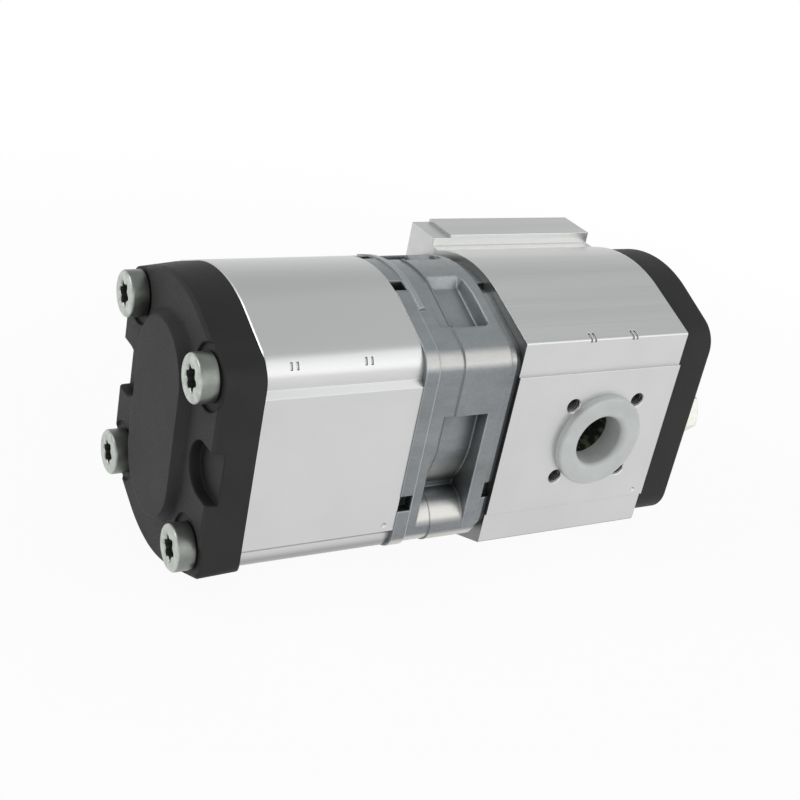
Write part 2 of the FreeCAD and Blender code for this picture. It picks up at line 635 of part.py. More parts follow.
def rear_pad(x0, x1):
    """Both port pads of the rear body, with shoulders that slope to the body's flanks."""
    reach = PAD_HALF_HEIGHT + REAR_PAD_PROUD
    corners = [(REAR_BODY_HALF_WIDTH, reach), (REAR_PAD_Y, PAD_HALF_HEIGHT),
               (REAR_PAD_Y, -PAD_HALF_HEIGHT), (REAR_BODY_HALF_WIDTH, -reach)]
    near = [Vector(x0, -y, MID_Z + z) for y, z in corners]
    far = [Vector(x0, y, MID_Z + z) for y, z in reversed(corners)]
    return Part.Face(Part.makePolygon(near + far + near[:1])).extrude(Vector(x1 - x0, 0, 0))


def rear_body():
    """Extruded body of the rear stage with milled side pads."""
    front = REAR_BODY_FRONT
    rear = REAR_BODY_REAR
    edge = rear + REAR_EDGE_CHAMFER
    body = crowned_block(edge, front, REAR_BODY_OUTLINE)
    end = crowned_taper(rear, REAR_BODY_OUTLINE, -REAR_EDGE_CHAMFER, edge, REAR_BODY_OUTLINE, 0.0)
    body = body.multiFuse([end, rear_pad(rear, front)])
    cuts = body_cuts(front, rear, REAR_GEAR_MID)
    cuts.append(rod(GALLERY_RADIUS, REAR_GEAR_MID, front + 1, GALLERY_Y, MID_Z))
    cuts += bolt_holes(REAR_GEAR_MID, PRESSURE_HOLE_PITCH, REAR_PAD_Y - PORT_HOLE_DEPTH, REAR_PAD_Y + 1)
    cuts += hole_chamfers(REAR_GEAR_MID, PRESSURE_HOLE_PITCH, REAR_PAD_Y, -1)
    for place in REAR_TICKS_FROM_REAR:
        cuts += tick_marks(rear + place, REAR_TICK_GAP, REAR_BODY_OUTLINE, REAR_BODY_HALF_WIDTH,
                           MID_Z + REAR_TICK_Z)
    cuts.append(dimple(front - REAR_DIMPLE_FROM_FRONT, -REAR_PAD_Y))
    return body.cut(cuts).removeSplitter()


def slope_section(x, depth):
    """Section of a pocket in the near top shoulder of the flange, its floor along the shoulder."""
    fall = math.tan(math.radians(REAR_SLOPE))
    drop = depth / math.cos(math.radians(REAR_SLOPE))

    def floor(y):
        return MID_Z + REAR_SHOULDER_Z - (y - REAR_SHOULDER_Y) * fall - drop

    inner = SLOPE_POCKET_INNER_Y + SLOPE_POCKET_LEAN
    outer = SLOPE_POCKET_OUTER_Y - SLOPE_POCKET_LEAN
    top = floor(inner) + 3 * SLOPE_POCKET_DEPTH
    spread = 3 * SLOPE_POCKET_LEAN
    points = [Vector(x, -inner, floor(inner)), Vector(x, -outer, floor(outer)),
              Vector(x, -outer - spread, top), Vector(x, -inner + spread, top)]
    points.append(points[0])
    return Part.makePolygon(points)


def slope_pocket(x0, x1):
    """Shoulder pocket with a raised ledge at its rear and a leaning front wall."""
    ledge_end = x0 + SLOPE_LEDGE_LENGTH
    ledge = Part.Face(slope_section(x0, SLOPE_LEDGE_DEPTH)).extrude(Vector(ledge_end - x0, 0, 0))
    deep = Part.Face(slope_section(ledge_end, SLOPE_POCKET_DEPTH)).extrude(Vector(x1 - ledge_end, 0, 0))
    front = Part.makeLoft([slope_section(x1, SLOPE_POCKET_DEPTH),
                           slope_section(x1 + SLOPE_FRONT_LEAN, 0.0)], True, True)
    return ledge.multiFuse([deep, front])


def side_recess(x0, x1):
    """Recess in the near side of the flange, wider lower down, with a back wall that bends inwards."""
    top = MID_Z + SIDE_RECESS_TOP
    tunnel_y = -SCREW_PITCH / 2
    tunnel_z = MID_Z - SCREW_PITCH / 2
    outer_y = -REAR_HALF_WIDTH - 1
    wide_x = x0 - SIDE_RECESS_WIDENING
    mouth = [Vector(x1, outer_y, top), Vector(x1, outer_y, tunnel_z), Vector(wide_x, outer_y, tunnel_z),
             Vector(wide_x, outer_y, MID_Z + SIDE_RECESS_WIDE_END),
             Vector(x0, outer_y, MID_Z + SIDE_RECESS_WIDE_START), Vector(x0, outer_y, top)]
    recess = Part.Face(Part.makePolygon(mouth + mouth[:1])).extrude(Vector(0, REAR_HALF_WIDTH + 1, 0))

    def wall(y, z):
        return Vector(wide_x - 1, y, z)

    above = wall(-SIDE_RECESS_WALL_Y, top + 1)
    bend_start = wall(-SIDE_RECESS_WALL_Y, MID_Z + SIDE_RECESS_BEND_START)
    bend_middle = wall(-SIDE_RECESS_BEND_MIDDLE[0], MID_Z + SIDE_RECESS_BEND_MIDDLE[1])
    bend_end = wall(-SIDE_RECESS_BEND_END[0], MID_Z + SIDE_RECESS_BEND_END[1])
    foot = wall(tunnel_y, tunnel_z - 1)
    rest = Part.makePolygon([bend_end, foot, wall(1, tunnel_z - 1), wall(1, top + 1), above, bend_start])
    bend = Part.Arc(bend_start, bend_middle, bend_end).toShape()
    core = Part.Face(Part.Wire(rest.Edges + [bend])).extrude(Vector(x1 - wide_x + 2, 0, 0))
    boss = rod(TUNNEL_BOSS_RADIUS, wide_x - 1, x1 + 1, tunnel_y, tunnel_z)
    return recess.cut([core, boss])


def rim_notches():
    """Rectangular notches in both rims of the flange."""
    front = FRONT_BODY_REAR
    rear = REAR_BODY_FRONT
    notches = []
    half_top = NOTCH_TOP_WIDTH / 2
    half_side = NOTCH_SIDE_WIDTH / 2
    for x0, x1 in ((rear - 1, rear + NOTCH_LENGTH), (front - NOTCH_LENGTH, front + 1)):
        top = box(x0, x1, -NOTCH_TOP_Y - half_top, -NOTCH_TOP_Y + half_top,
                  MID_Z + REAR_TOP_HEIGHT - NOTCH_TOP_DEPTH, MID_Z + REAR_TOP_HEIGHT + 2)
        side = box(x0, x1, -REAR_HALF_WIDTH - 1, -REAR_HALF_WIDTH + NOTCH_SIDE_DEPTH,
                   MID_Z - NOTCH_DROP - half_side, MID_Z - NOTCH_DROP + half_side)
        for notch in (top, side):
            notches += [notch, mirror_y(notch)]
        foot = mirror_z(top).translated(Vector(0, 0, REAR_TOP_HEIGHT - REAR_FOOT_HEIGHT))
        notches += [foot, mirror_y(foot)]
    return notches


def crown_mark():
    """Shallow oval dent in the crown, where the casting date would be."""
    radius = CROWN_MARK_WIDTH / 2
    x1 = FRONT_BODY_REAR - CROWN_MARK_FROM_FRONT - radius
    x0 = x1 - CROWN_MARK_LENGTH + CROWN_MARK_WIDTH
    y = CROWN_MARK_Y + radius
    lean = math.asin(y / REAR_CROWN_RADIUS)
    surface = MID_Z + REAR_TOP_HEIGHT - FLANGE_FRONT_SHRINK - REAR_CROWN_RADIUS * (1 - math.cos(lean))
    floor = surface - CROWN_MARK_DEPTH
    top = 2 * radius
    dent = Part.makeBox(x1 - x0, CROWN_MARK_WIDTH, top, Vector(x0, y - radius, floor))
    for x in (x0, x1):
        dent = dent.fuse(Part.makeCylinder(radius, top, Vector(x, y, floor), Vector(0, 0, 1)))
    dent.rotate(Vector(0, y, surface), X_AXIS, -math.degrees(lean))
    return dent


def intermediate_flange():
    """Die-cast spacer that holds the coupling chamber and carries the suction gallery."""
    front = FRONT_BODY_REAR
    rear = REAR_BODY_FRONT
    rim = rear + FLANGE_RIM_LENGTH
    parting = rear + FLANGE_PARTING_FROM_REAR
    front_rim = front - FLANGE_FRONT_RIM_LENGTH
    steps = [crowned_block(rear, rim, REAR_OUTLINE),
             crowned_block(rim, parting, REAR_OUTLINE, -FLANGE_REAR_SHRINK),
             crowned_block(parting, front_rim, REAR_OUTLINE, -FLANGE_FRONT_SHRINK),
             crowned_block(front_rim, front, FRONT_RIM_OUTLINE, -FLANGE_FRONT_RIM_SHRINK)]
    ridge = crowned_block(rim, rim + RIDGE_WIDTH, REAR_OUTLINE, RIDGE_PROUD - FLANGE_REAR_SHRINK)
    ridge = ridge.common(box(rim, rim + RIDGE_WIDTH, -RIDGE_HALF_SPAN, RIDGE_HALF_SPAN,
                             -REAR_FOOT_HEIGHT, MID_Z + 2 * REAR_TOP_HEIGHT))
    body = steps[0].multiFuse(steps[1:] + [ridge])
    pocket_rear = rear + POCKET_REAR_FROM_REAR
    pocket_front = rear + POCKET_FRONT_FROM_REAR
    pocket = slope_pocket(pocket_rear, pocket_front)
    side = side_recess(pocket_rear, pocket_front)
    foot = mirror_z(pocket).translated(Vector(0, 0, REAR_TOP_HEIGHT - REAR_FOOT_HEIGHT))
    cuts = [pocket, mirror_y(pocket), foot, mirror_y(foot), side, mirror_y(side)]
    cuts += rim_notches()
    cuts.append(crown_mark())
    cuts.append(rod(CHAMBER_RADIUS, rear - 1, front + 1))
    cuts.append(rod(GALLERY_RADIUS, rear - 1, front + 1, GALLERY_Y, MID_Z))
    cuts += screw_tunnels(rear - 1, front + 1)
    cuts += dowel_pins(front) + dowel_pins(rear)
    return body.cut(cuts).removeSplitter()


def panel_outline(x, radius):
    """Outline of the raised panel on the rear cover, round at both ends."""
    top = MID_Z + PANEL_HALF_PITCH
    foot = MID_Z - PANEL_HALF_PITCH
    edges = [Part.Arc(Vector(x, -radius, top), Vector(x, 0, top + radius), Vector(x, radius, top)).toShape(),
             Part.makeLine(Vector(x, radius, top), Vector(x, radius, foot)),
             Part.Arc(Vector(x, radius, foot), Vector(x, 0, foot - radius),
                      Vector(x, -radius, foot)).toShape(),
             Part.makeLine(Vector(x, -radius, foot), Vector(x, -radius, top))]
    return Part.Wire(edges)


def side_pocket():
    """Round-ended pocket that opens through the near flank of the rear cover."""
    x0 = COVER_FACE - PANEL_HEIGHT - 1
    x1 = COVER_FACE + SIDE_POCKET_DEPTH
    slot = box(x0, x1, -REAR_HALF_WIDTH - 1, -SIDE_POCKET_Y, MID_Z - SIDE_POCKET_RADIUS,
               MID_Z + SIDE_POCKET_RADIUS)
    return slot.fuse(rod(SIDE_POCKET_RADIUS, x0, x1, -SIDE_POCKET_Y, MID_Z))


def rear_cover():
    """Cast end cover with a raised panel, four spotfaces and two side pockets."""
    edge = COVER_FACE + REAR_COVER_CHAMFER
    taper = -REAR_COVER_SHRINK - REAR_COVER_DRAFT
    plate = crowned_taper(REAR_BODY_REAR, REAR_COVER_OUTLINE, -REAR_COVER_SHRINK,
                          edge, REAR_FACE_OUTLINE, taper)
    face = crowned_taper(edge, REAR_FACE_OUTLINE, taper, COVER_FACE, REAR_FACE_OUTLINE,
                         taper - REAR_COVER_CHAMFER)
    panel = Part.makeLoft([panel_outline(COVER_FACE, PANEL_RADIUS + PANEL_DRAFT),
                           panel_outline(COVER_FACE - PANEL_HEIGHT, PANEL_RADIUS)], True, True)
    cover = plate.multiFuse([face, panel]).removeSplitter()
    cuts = [rod(SCREW_HOLE_RADIUS, COVER_FACE - 1, REAR_BODY_REAR + 1, y, z) for y, z in screw_places()]
    cuts += [rod(SPOTFACE_RADIUS, COVER_FACE - PANEL_HEIGHT - 1, SCREW_SEAT, y, z)
             for y, z in screw_places()]
    pocket = side_pocket()
    cuts += [pocket, mirror_y(pocket)]
    cuts += dowel_pins(REAR_BODY_REAR)
    return cover.cut(cuts).removeSplitter()


def bearing_block(x0, x1, gear_side):
    """Bearing block; gear_side is +1 where the gears lie at its +X face."""
    block = figure_eight(BLOCK_RADIUS, x0, x1)
    cuts = [rod(BUSH_OUTER_RADIUS, x0 - 1, x1 + 1, 0.0, z) for z in AXES_Z]
    seal_x0, seal_x1 = back_groove(x0, x1, gear_side)
    cuts.append(figure_eight_band(AXIAL_SEAL_OUTER, AXIAL_SEAL_WIDTH + BACKUP_WIDTH, seal_x0, seal_x1))
    relief_x0, relief_x1 = (x1 - RELIEF_DEPTH, x1) if gear_side > 0 else (x0, x0 + RELIEF_DEPTH)
    for side in (-1, 1):
        y0, y1 = sorted((side * RELIEF_INNER_Y, side * RELIEF_OUTER_Y))
        cuts.append(box(relief_x0, relief_x1, y0, y1, MID_Z - RELIEF_HALF_HEIGHT, MID_Z + RELIEF_HALF_HEIGHT))
    return block.cut(cuts).removeSplitter()


def back_groove(x0, x1, gear_side):
    """Depth range of the seal groove at the back of a bearing block."""
    if gear_side > 0:
        return x0, x0 + AXIAL_SEAL_DEPTH
    return x1 - AXIAL_SEAL_DEPTH, x1


def axial_seal(x0, x1, gear_side):
    """Rubber seal in the back groove."""
    seal_x0, seal_x1 = back_groove(x0, x1, gear_side)
    return figure_eight_band(AXIAL_SEAL_OUTER, AXIAL_SEAL_WIDTH, seal_x0, seal_x1)


def backup_ring(x0, x1, gear_side):
    """Plastic backup strip inside the rubber seal."""
    seal_x0, seal_x1 = back_groove(x0, x1, gear_side)
    return figure_eight_band(AXIAL_SEAL_OUTER - AXIAL_SEAL_WIDTH, BACKUP_WIDTH, seal_x0, seal_x1)


def bushes(x0, x1):
    """Both plain bushes of one bearing block."""
    return [tube(BUSH_OUTER_RADIUS, BUSH_INNER_RADIUS, x0 + BUSH_INSET, x1 - BUSH_INSET, 0.0, z)
            for z in AXES_Z]


def gear_span(front, rear):
    """Ends of the gears between the two bearing blocks of a stage."""
    return rear + BLOCK_LENGTH + FACE_GAP, front - BLOCK_LENGTH - FACE_GAP


def idler_gear(front, rear, turn):
    """Idler with its two journals."""
    x0, x1 = gear_span(front, rear)
    wheel = gear(x0, x1, CENTRE_DISTANCE, turn)
    journal = rod(JOURNAL_RADIUS, rear + JOURNAL_INSET, front - JOURNAL_INSET, 0.0, CENTRE_DISTANCE)
    return wheel.fuse(journal).removeSplitter()


def tongue(x0, x1, along_z):
    """Flat driving tongue on a shaft end."""
    half = TONGUE_WIDTH / 2
    reach = STUB_RADIUS + 1
    slab = box(x0, x1, -half, half, -reach, reach) if along_z else box(x0, x1, -reach, reach, -half, half)
    return rod(STUB_RADIUS, x0, x1).common(slab)


def key_disc():
    """The disc that cuts the keyway."""
    surface = TAPER_BIG_RADIUS - TAPER_RATIO * (KEY_X - TAPER_START)
    centre_z = surface + KEY_PROUD - KEY_HEIGHT + KEY_DISC_RADIUS
    return cross_rod(KEY_DISC_RADIUS, -KEY_WIDTH / 2, KEY_WIDTH / 2, KEY_X, centre_z), surface


def front_drive_gear():
    """Drive gear in one piece with the drive shaft."""
    x0, x1 = gear_span(FRONT_BODY_FRONT, FRONT_BODY_REAR)
    wheel = gear(x0, x1, 0.0, 0.0)
    tongue_end = COUPLING_CENTRE + COUPLING_LENGTH / 2 + STUB_FACE_GAP
    parts = [rod(JOURNAL_RADIUS, FRONT_BODY_REAR + JOURNAL_INSET, TAPER_START),
             rod(STUB_RADIUS, tongue_end, FRONT_BODY_REAR + JOURNAL_INSET),
             tongue(tongue_end - STUB_FACE_GAP - TONGUE_LENGTH, tongue_end, True),
             cone(TAPER_BIG_RADIUS, TAPER_SMALL_RADIUS, TAPER_START, TAPER_END),
             rod(THREAD_RADIUS, TAPER_END, NUT_END),
             rod(THREAD_CORE_RADIUS, NUT_END, THREAD_END - THREAD_CHAMFER),
             cone(THREAD_CORE_RADIUS, THREAD_CORE_RADIUS - THREAD_CHAMFER, THREAD_END - THREAD_CHAMFER,
                  THREAD_END)]
    disc, _ = key_disc()
    return wheel.multiFuse(parts).removeSplitter().cut(disc)


def shaft_key():
    """Disc key, flat on top."""
    disc, surface = key_disc()
    top = surface + KEY_PROUD
    return disc.common(box(KEY_X - KEY_DISC_RADIUS, KEY_X + KEY_DISC_RADIUS, -KEY_WIDTH, KEY_WIDTH,
                           top - KEY_HEIGHT, top))


def shaft_washer():
    """Washer against the small end of the taper."""
    return tube(WASHER_RADIUS, THREAD_RADIUS, TAPER_END, TAPER_END + WASHER_THICKNESS)


def shaft_nut():
    """Hexagon nut with chamfered corners."""
    x0 = TAPER_END + WASHER_THICKNESS
    x1 = NUT_END
    corner = NUT_ACROSS_FLATS / math.sqrt(3)
    points = []
    for index in range(7):
        angle = math.radians(NUT_TURN + 60 * index)
        points.append(Vector(x0, corner * math.cos(angle), corner * math.sin(angle)))
    nut = Part.Face(Part.makePolygon(points)).extrude(Vector(NUT_HEIGHT, 0, 0))
    drop = (corner - NUT_ACROSS_FLATS / 2) * math.tan(math.radians(NUT_CHAMFER_ANGLE))
    flat = NUT_ACROSS_FLATS / 2
    envelope = rod(corner, x0 + drop, x1 - drop)
    envelope = envelope.multiFuse([cone(flat, corner, x0, x0 + drop), cone(corner, flat, x1 - drop, x1)])
    return nut.common(envelope).cut(rod(THREAD_RADIUS, x0 - 1, x1 + 1))


def coupling_disc():
    """Cross-slotted disc that joins the two shafts."""
    x0 = COUPLING_CENTRE - COUPLING_LENGTH / 2
    x1 = COUPLING_CENTRE + COUPLING_LENGTH / 2
    disc = rod(COUPLING_RADIUS, x0 + COUPLING_CHAMFER, x1 - COUPLING_CHAMFER)
    small = COUPLING_RADIUS - COUPLING_CHAMFER
    disc = disc.multiFuse([cone(small, COUPLING_RADIUS, x0, x0 + COUPLING_CHAMFER),
                           cone(COUPLING_RADIUS, small, x1 - COUPLING_CHAMFER, x1)])
    half = TONGUE_WIDTH / 2 + COUPLING_GAP
    depth = TONGUE_LENGTH + TONGUE_END_GAP
    reach = COUPLING_RADIUS + 1
    front_slot = box(x1 - depth, x1 + 1, -half, half, -reach, reach)
    rear_slot = box(x0 - 1, x0 + depth, -reach, reach, -half, half)
    return disc.cut([front_slot, rear_slot])


def rear_drive_gear():
    """Drive gear of the rear stage with its stub to the coupling."""
    x0, x1 = gear_span(REAR_BODY_FRONT, REAR_BODY_REAR)
    wheel = gear(x0, x1, 0.0, 0.0)
    face = COUPLING_CENTRE - COUPLING_LENGTH / 2 - STUB_FACE_GAP
    parts = [rod(JOURNAL_RADIUS, REAR_BODY_REAR + JOURNAL_INSET, REAR_BODY_FRONT - JOURNAL_INSET),
             rod(STUB_RADIUS, REAR_BODY_FRONT - JOURNAL_INSET, face),
             tongue(face, face + STUB_FACE_GAP + TONGUE_LENGTH, False)]
    return wheel.multiFuse(parts).removeSplitter()


def lobed_socket(x0, x1, y, z):
    """Six-lobed driving socket of a screw head."""
    points = []
    for index in range(SOCKET_LOBES * 2):
        radius = SOCKET_TIP_RADIUS if index % 2 == 0 else SOCKET_VALLEY_RADIUS
        angle = math.pi * index / SOCKET_LOBES
        points.append(Vector(x0, y + radius * math.cos(angle), z + radius * math.sin(angle)))
    curve = Part.BSplineCurve()
    curve.interpolate(points, True)
    return Part.Face(Part.Wire(curve.toShape())).extrude(Vector(x1 - x0, 0, 0))


def through_screw(y, z):
    """Long M10 screw from the rear cover to the front cover."""
    head_end = SCREW_SEAT - SCREW_HEAD_HEIGHT
    shank = rod(SCREW_RADIUS, SCREW_SEAT, -SCREW_END_DEPTH, y, z)
    head = rod(SCREW_HEAD_RADIUS, head_end + SCREW_HEAD_CHAMFER, SCREW_SEAT, y, z)
    crown = cone(SCREW_HEAD_RADIUS - SCREW_HEAD_CHAMFER, SCREW_HEAD_RADIUS, head_end,
                 head_end + SCREW_HEAD_CHAMFER, y, z)
    screw = head.multiFuse([crown, shank])
    return screw.cut(lobed_socket(head_end - 1, head_end + SOCKET_DEPTH, y, z))


def plug_profile(x, face_y, outward, port_radius, flange, wall, reach, open_end):
    """Revolved port plug; outward is the Y direction that points away from the body."""
    outer = port_radius - PLUG_GAP
    inner = outer - wall
    top = PLUG_FLANGE_THICKNESS
    edge = PLUG_EDGE_RADIUS
    mouth = PLUG_MOUTH_RADIUS
    floor = 0.0 if open_end else wall

    def at(radius, height):
        return Vector(x + radius, face_y + outward * height, MID_Z)

    bend = 1 - 1 / math.sqrt(2)
    edges = [Part.makeLine(at(outer, -reach), at(outer, 0.0)),
             Part.makeLine(at(outer, 0.0), at(flange, 0.0)),
             Part.makeLine(at(flange, 0.0), at(flange, top - edge)),
             Part.Arc(at(flange, top - edge), at(flange - edge * bend, top - edge * bend),
                      at(flange - edge, top)).toShape(),
             Part.makeLine(at(flange - edge, top), at(inner + mouth, top)),
             Part.Arc(at(inner + mouth, top), at(inner + mouth * bend, top - mouth * bend),
                      at(inner, top - mouth)).toShape()]
    if open_end:
        edges += [Part.makeLine(at(inner, top - mouth), at(inner, -reach)),
                  Part.makeLine(at(inner, -reach), at(outer, -reach))]
    else:
        edges += [Part.makeLine(at(inner, top - mouth), at(inner, -reach + floor)),
                  Part.makeLine(at(inner, -reach + floor), at(0.0, -reach + floor)),
                  Part.makeLine(at(0.0, -reach + floor), at(0.0, -reach)),
                  Part.makeLine(at(0.0, -reach), at(outer, -reach))]
    face = Part.Face(Part.Wire(Part.__sortEdges__(edges)))
    return face.revolve(Vector(x, 0, MID_Z), Y_AXIS, 360)


def suction_port_plug():
    """Open sleeve plug in the suction port."""
    return plug_profile(SUCTION_PORT_X, FRONT_NEAR_PAD_Y, -1, SUCTION_PORT_RADIUS, SUCTION_PLUG_FLANGE,
                        SUCTION_PLUG_WALL, SUCTION_PLUG_REACH, True)


def pressure_port_plug(gear_mid, face_y):
    """Closed cap plug in a pressure port."""
    return plug_profile(gear_mid, face_y, 1, PRESSURE_PORT_RADIUS, PRESSURE_PLUG_FLANGE,
                        PRESSURE_PLUG_WALL, PRESSURE_PLUG_REACH, False)


def stage_inner_parts(name, front, rear):
    """Bearing blocks, bushes and their seals of one stage."""
    parts = {}
    spans = {"front": (front - BLOCK_LENGTH, front, -1), "rear": (rear, rear + BLOCK_LENGTH, 1)}
    for end, (x0, x1, gear_side) in spans.items():
        prefix = name + "_stage_" + end
        parts[prefix + "_bearing_block"] = bearing_block(x0, x1, gear_side)
        parts[prefix + "_bushes"] = Part.makeCompound(bushes(x0, x1))
        parts[prefix + "_axial_seal"] = axial_seal(x0, x1, gear_side)
        parts[prefix + "_backup_ring"] = backup_ring(x0, x1, gear_side)
    return parts


def joint_parts():
    """Ring seals and dowels of the four joints between the sections."""
    joints = {"front_cover": (FRONT_BODY_FRONT, -1), "front_body_rear": (FRONT_BODY_REAR, 1),
              "rear_body_front": (REAR_BODY_FRONT, -1), "rear_cover": (REAR_BODY_REAR, 1)}
    parts = {}
    for name, (face_x, side) in joints.items():
        x0, x1 = sorted((face_x, face_x + side * RING_DEPTH))
        parts[name + "_ring_seal"] = ring_seal(x0, x1)
        parts[name + "_dowels"] = Part.makeCompound(dowel_pins(face_x))
    return parts


def build():
    """All sub-parts by name."""
    half_pitch = 180.0 / TEETH
    parts = {
        "front_cover": front_cover(),
        "shaft_seal": shaft_seal(),
        "seal_retaining_ring": seal_retaining_ring(),
        "front_body": front_body(),
        "intermediate_flange": intermediate_flange(),
        "rear_body": rear_body(),
        "rear_cover": rear_cover(),
        "through_screws": Part.makeCompound([through_screw(y, z) for y, z in screw_places()]),
        "front_drive_gear": front_drive_gear(),
        "shaft_key": shaft_key(),
        "shaft_washer": shaft_washer(),
        "shaft_nut": shaft_nut(),
        "front_idler_gear": idler_gear(FRONT_BODY_FRONT, FRONT_BODY_REAR, half_pitch),
        "coupling_disc": coupling_disc(),
        "rear_drive_gear": rear_drive_gear(),
        "rear_idler_gear": idler_gear(REAR_BODY_FRONT, REAR_BODY_REAR, half_pitch),
        "suction_port_plug": suction_port_plug(),
        "front_pressure_port_plug": pressure_port_plug(FRONT_GEAR_MID, WEB_OUTER_Y),
        "rear_pressure_port_plug": pressure_port_plug(REAR_GEAR_MID, REAR_PAD_Y),
    }
    parts.update(stage_inner_parts("front", FRONT_BODY_FRONT, FRONT_BODY_REAR))
    parts.update(stage_inner_parts("rear", REAR_BODY_FRONT, REAR_BODY_REAR))
    parts.update(joint_parts())
    return parts


os.makedirs("parts", exist_ok=True)
for node, shape in build().items():
    solids = shape.Solids
    print(node, len(solids), shape.isValid(), round(sum(solid.Volume for solid in solids), 1))
    shape.exportStep("parts/" + node + ".step")
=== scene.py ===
import bpy
import bmesh
import json
import math
from functools import reduce
from mathutils import Matrix, Vector


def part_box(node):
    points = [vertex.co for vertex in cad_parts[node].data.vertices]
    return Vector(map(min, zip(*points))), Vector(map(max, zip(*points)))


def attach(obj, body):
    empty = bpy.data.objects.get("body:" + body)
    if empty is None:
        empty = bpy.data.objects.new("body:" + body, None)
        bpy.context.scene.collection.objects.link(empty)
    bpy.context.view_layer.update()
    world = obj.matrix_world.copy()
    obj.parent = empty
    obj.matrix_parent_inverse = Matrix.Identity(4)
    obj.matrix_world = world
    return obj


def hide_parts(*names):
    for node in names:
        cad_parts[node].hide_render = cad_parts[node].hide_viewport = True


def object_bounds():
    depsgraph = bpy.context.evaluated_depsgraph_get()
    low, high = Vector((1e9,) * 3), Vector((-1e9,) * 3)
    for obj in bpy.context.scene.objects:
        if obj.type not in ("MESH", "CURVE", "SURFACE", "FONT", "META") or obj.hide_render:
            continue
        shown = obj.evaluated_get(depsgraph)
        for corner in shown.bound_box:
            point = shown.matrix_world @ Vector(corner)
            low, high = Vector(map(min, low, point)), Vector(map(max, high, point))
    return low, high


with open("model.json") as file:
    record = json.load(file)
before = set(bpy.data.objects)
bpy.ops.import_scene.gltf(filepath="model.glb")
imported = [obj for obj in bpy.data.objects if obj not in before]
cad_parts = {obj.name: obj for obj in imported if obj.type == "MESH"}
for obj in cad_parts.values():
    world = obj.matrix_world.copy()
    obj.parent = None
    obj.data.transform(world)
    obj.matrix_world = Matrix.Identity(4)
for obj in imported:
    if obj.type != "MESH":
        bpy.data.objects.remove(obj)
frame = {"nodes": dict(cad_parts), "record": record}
cad_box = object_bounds()

MM = 0.001
X_AXIS = Vector((1, 0, 0))
Y_AXIS = Vector((0, 1, 0))
Z_AXIS = Vector((0, 0, 1))
RECORD = frame["record"]
MOUNTS = {mount["name"]: mount for mount in RECORD["mounts"]}

# Socket screws of the end cover, in millimetres
SCREW_HEAD_RADIUS = 7.85
SCREW_HEAD_HEIGHT = 6.7
SCREW_HEAD_FILLET = 1.1
SCREW_SEAT_CHAMFER = 0.6
SCREW_SHANK_RADIUS = 5.0
SCREW_END_CHAMFER = 0.8
SOCKET_LOBES = 6
SOCKET_RADIUS = 3.7
SOCKET_WAVE = 0.6
SOCKET_DEPTH = 4.4
SOCKET_CONE = 0.8
SOCKET_RIM = 0.35
SCREW_STEPS = 96
FILLET_STEPS = 6

# Threads, in millimetres; a ridge is embedded a little in what carries it
THREAD_EMBED = 0.05
THREAD_STEPS = 32
THREAD_START = 0.5
THREAD_FOOT = 0.45
THREAD_CREST = 0.08
PORT_THREAD_PITCH = 1.0
PORT_THREAD_HEIGHT = 0.45
PORT_THREAD_LENGTH = 12.0
SHAFT_THREAD_PITCH = 1.5
SHAFT_THREAD_CORE = 5.3
SHAFT_THREAD_RADIUS = 6.0
SHAFT_THREAD_LENGTH = 4.0

# The housing's cavity, whose walls get painted shade, in millimetres
MID_Z = 17.25
CAVITY_HALF_WIDTH = 30.0
CAVITY_HALF_HEIGHT = 38.0

# Places on the bodies that the looks mark, in millimetres; ABOVE_MID counts from MID_Z
PORT_SPAN = 25.0
WEB_INNER_Y = 25.75
WEB_FOOT_ABOVE_MID = 46.3
# Heights over which the painted shade on the end faces weakens
END_DARK_Z = (50.0, 60.0)

# Places on the flange that the looks mark, in millimetres
FLANGE_RIM_X = -117.3
FLANGE_RIDGE_X = -116.1
FLANGE_RIDGE_SPAN = 22.0
FLANGE_PARTING_X = -107.7
FLANGE_GAP_X = -86.2
FLANGE_BEND_Y = (30.0, 33.0)
FLANGE_BEND_Z = (0.0, 30.0)
CROWN_MARK_CENTRE = (-97.75, 9.5)
CROWN_MARK_STRAIGHT = 3.75
CROWN_MARK_RADIUS = 3.0
CROWN_ABOVE_MID = 41.0

# Suction plug, in millimetres; past its end the plug's inner wall gets the port's painted shade and glints
SUCTION_PORT_X = MOUNTS["suction_port_holes"]["pos_m"][0] / MM
PLUG_INNER_RADIUS = 9.6
PLUG_END_Y = -33.5

# Colours, linear
COVER_BLACK = (0.0255, 0.025, 0.0245)
BODY_ALUMINIUM = (0.625, 0.63, 0.625)
WEB_PAINTED_LIGHT = (0.98, 0.98, 0.96)
# Tapped threads: a dark grey that stands in for the shade inside the port holes
THREAD_GREY = (0.2, 0.2, 0.19)
CAST_GREY = (0.278, 0.296, 0.305)
BEND_HIGHLIGHT_GREY = (0.62, 0.60, 0.57)
SCREW_ZINC = (0.53, 0.56, 0.52)
NUT_ZINC = (0.84, 0.83, 0.77)
GEAR_STEEL = (0.48, 0.47, 0.45)
BEARING_ALUMINIUM = (0.52, 0.52, 0.50)
BUSH_BRONZE = (0.33, 0.25, 0.15)
RUBBER_BLACK = (0.018, 0.018, 0.018)
BACKUP_CREAM = (0.55, 0.50, 0.38)
CIRCLIP_GREY = (0.07, 0.07, 0.075)
DOWEL_STEEL = (0.5, 0.5, 0.5)
PLUG_MILK = (0.72, 0.745, 0.735)
PLUG_PAINTED_SHADE = (0.02, 0.03, 0.024)
PORT_PAINTED_SHADE = (0.022, 0.032, 0.024)
PORT_GLINT = (0.15, 0.17, 0.11)

# How far light spreads inside the plugs, in metres
PLUG_SCATTER = 0.006
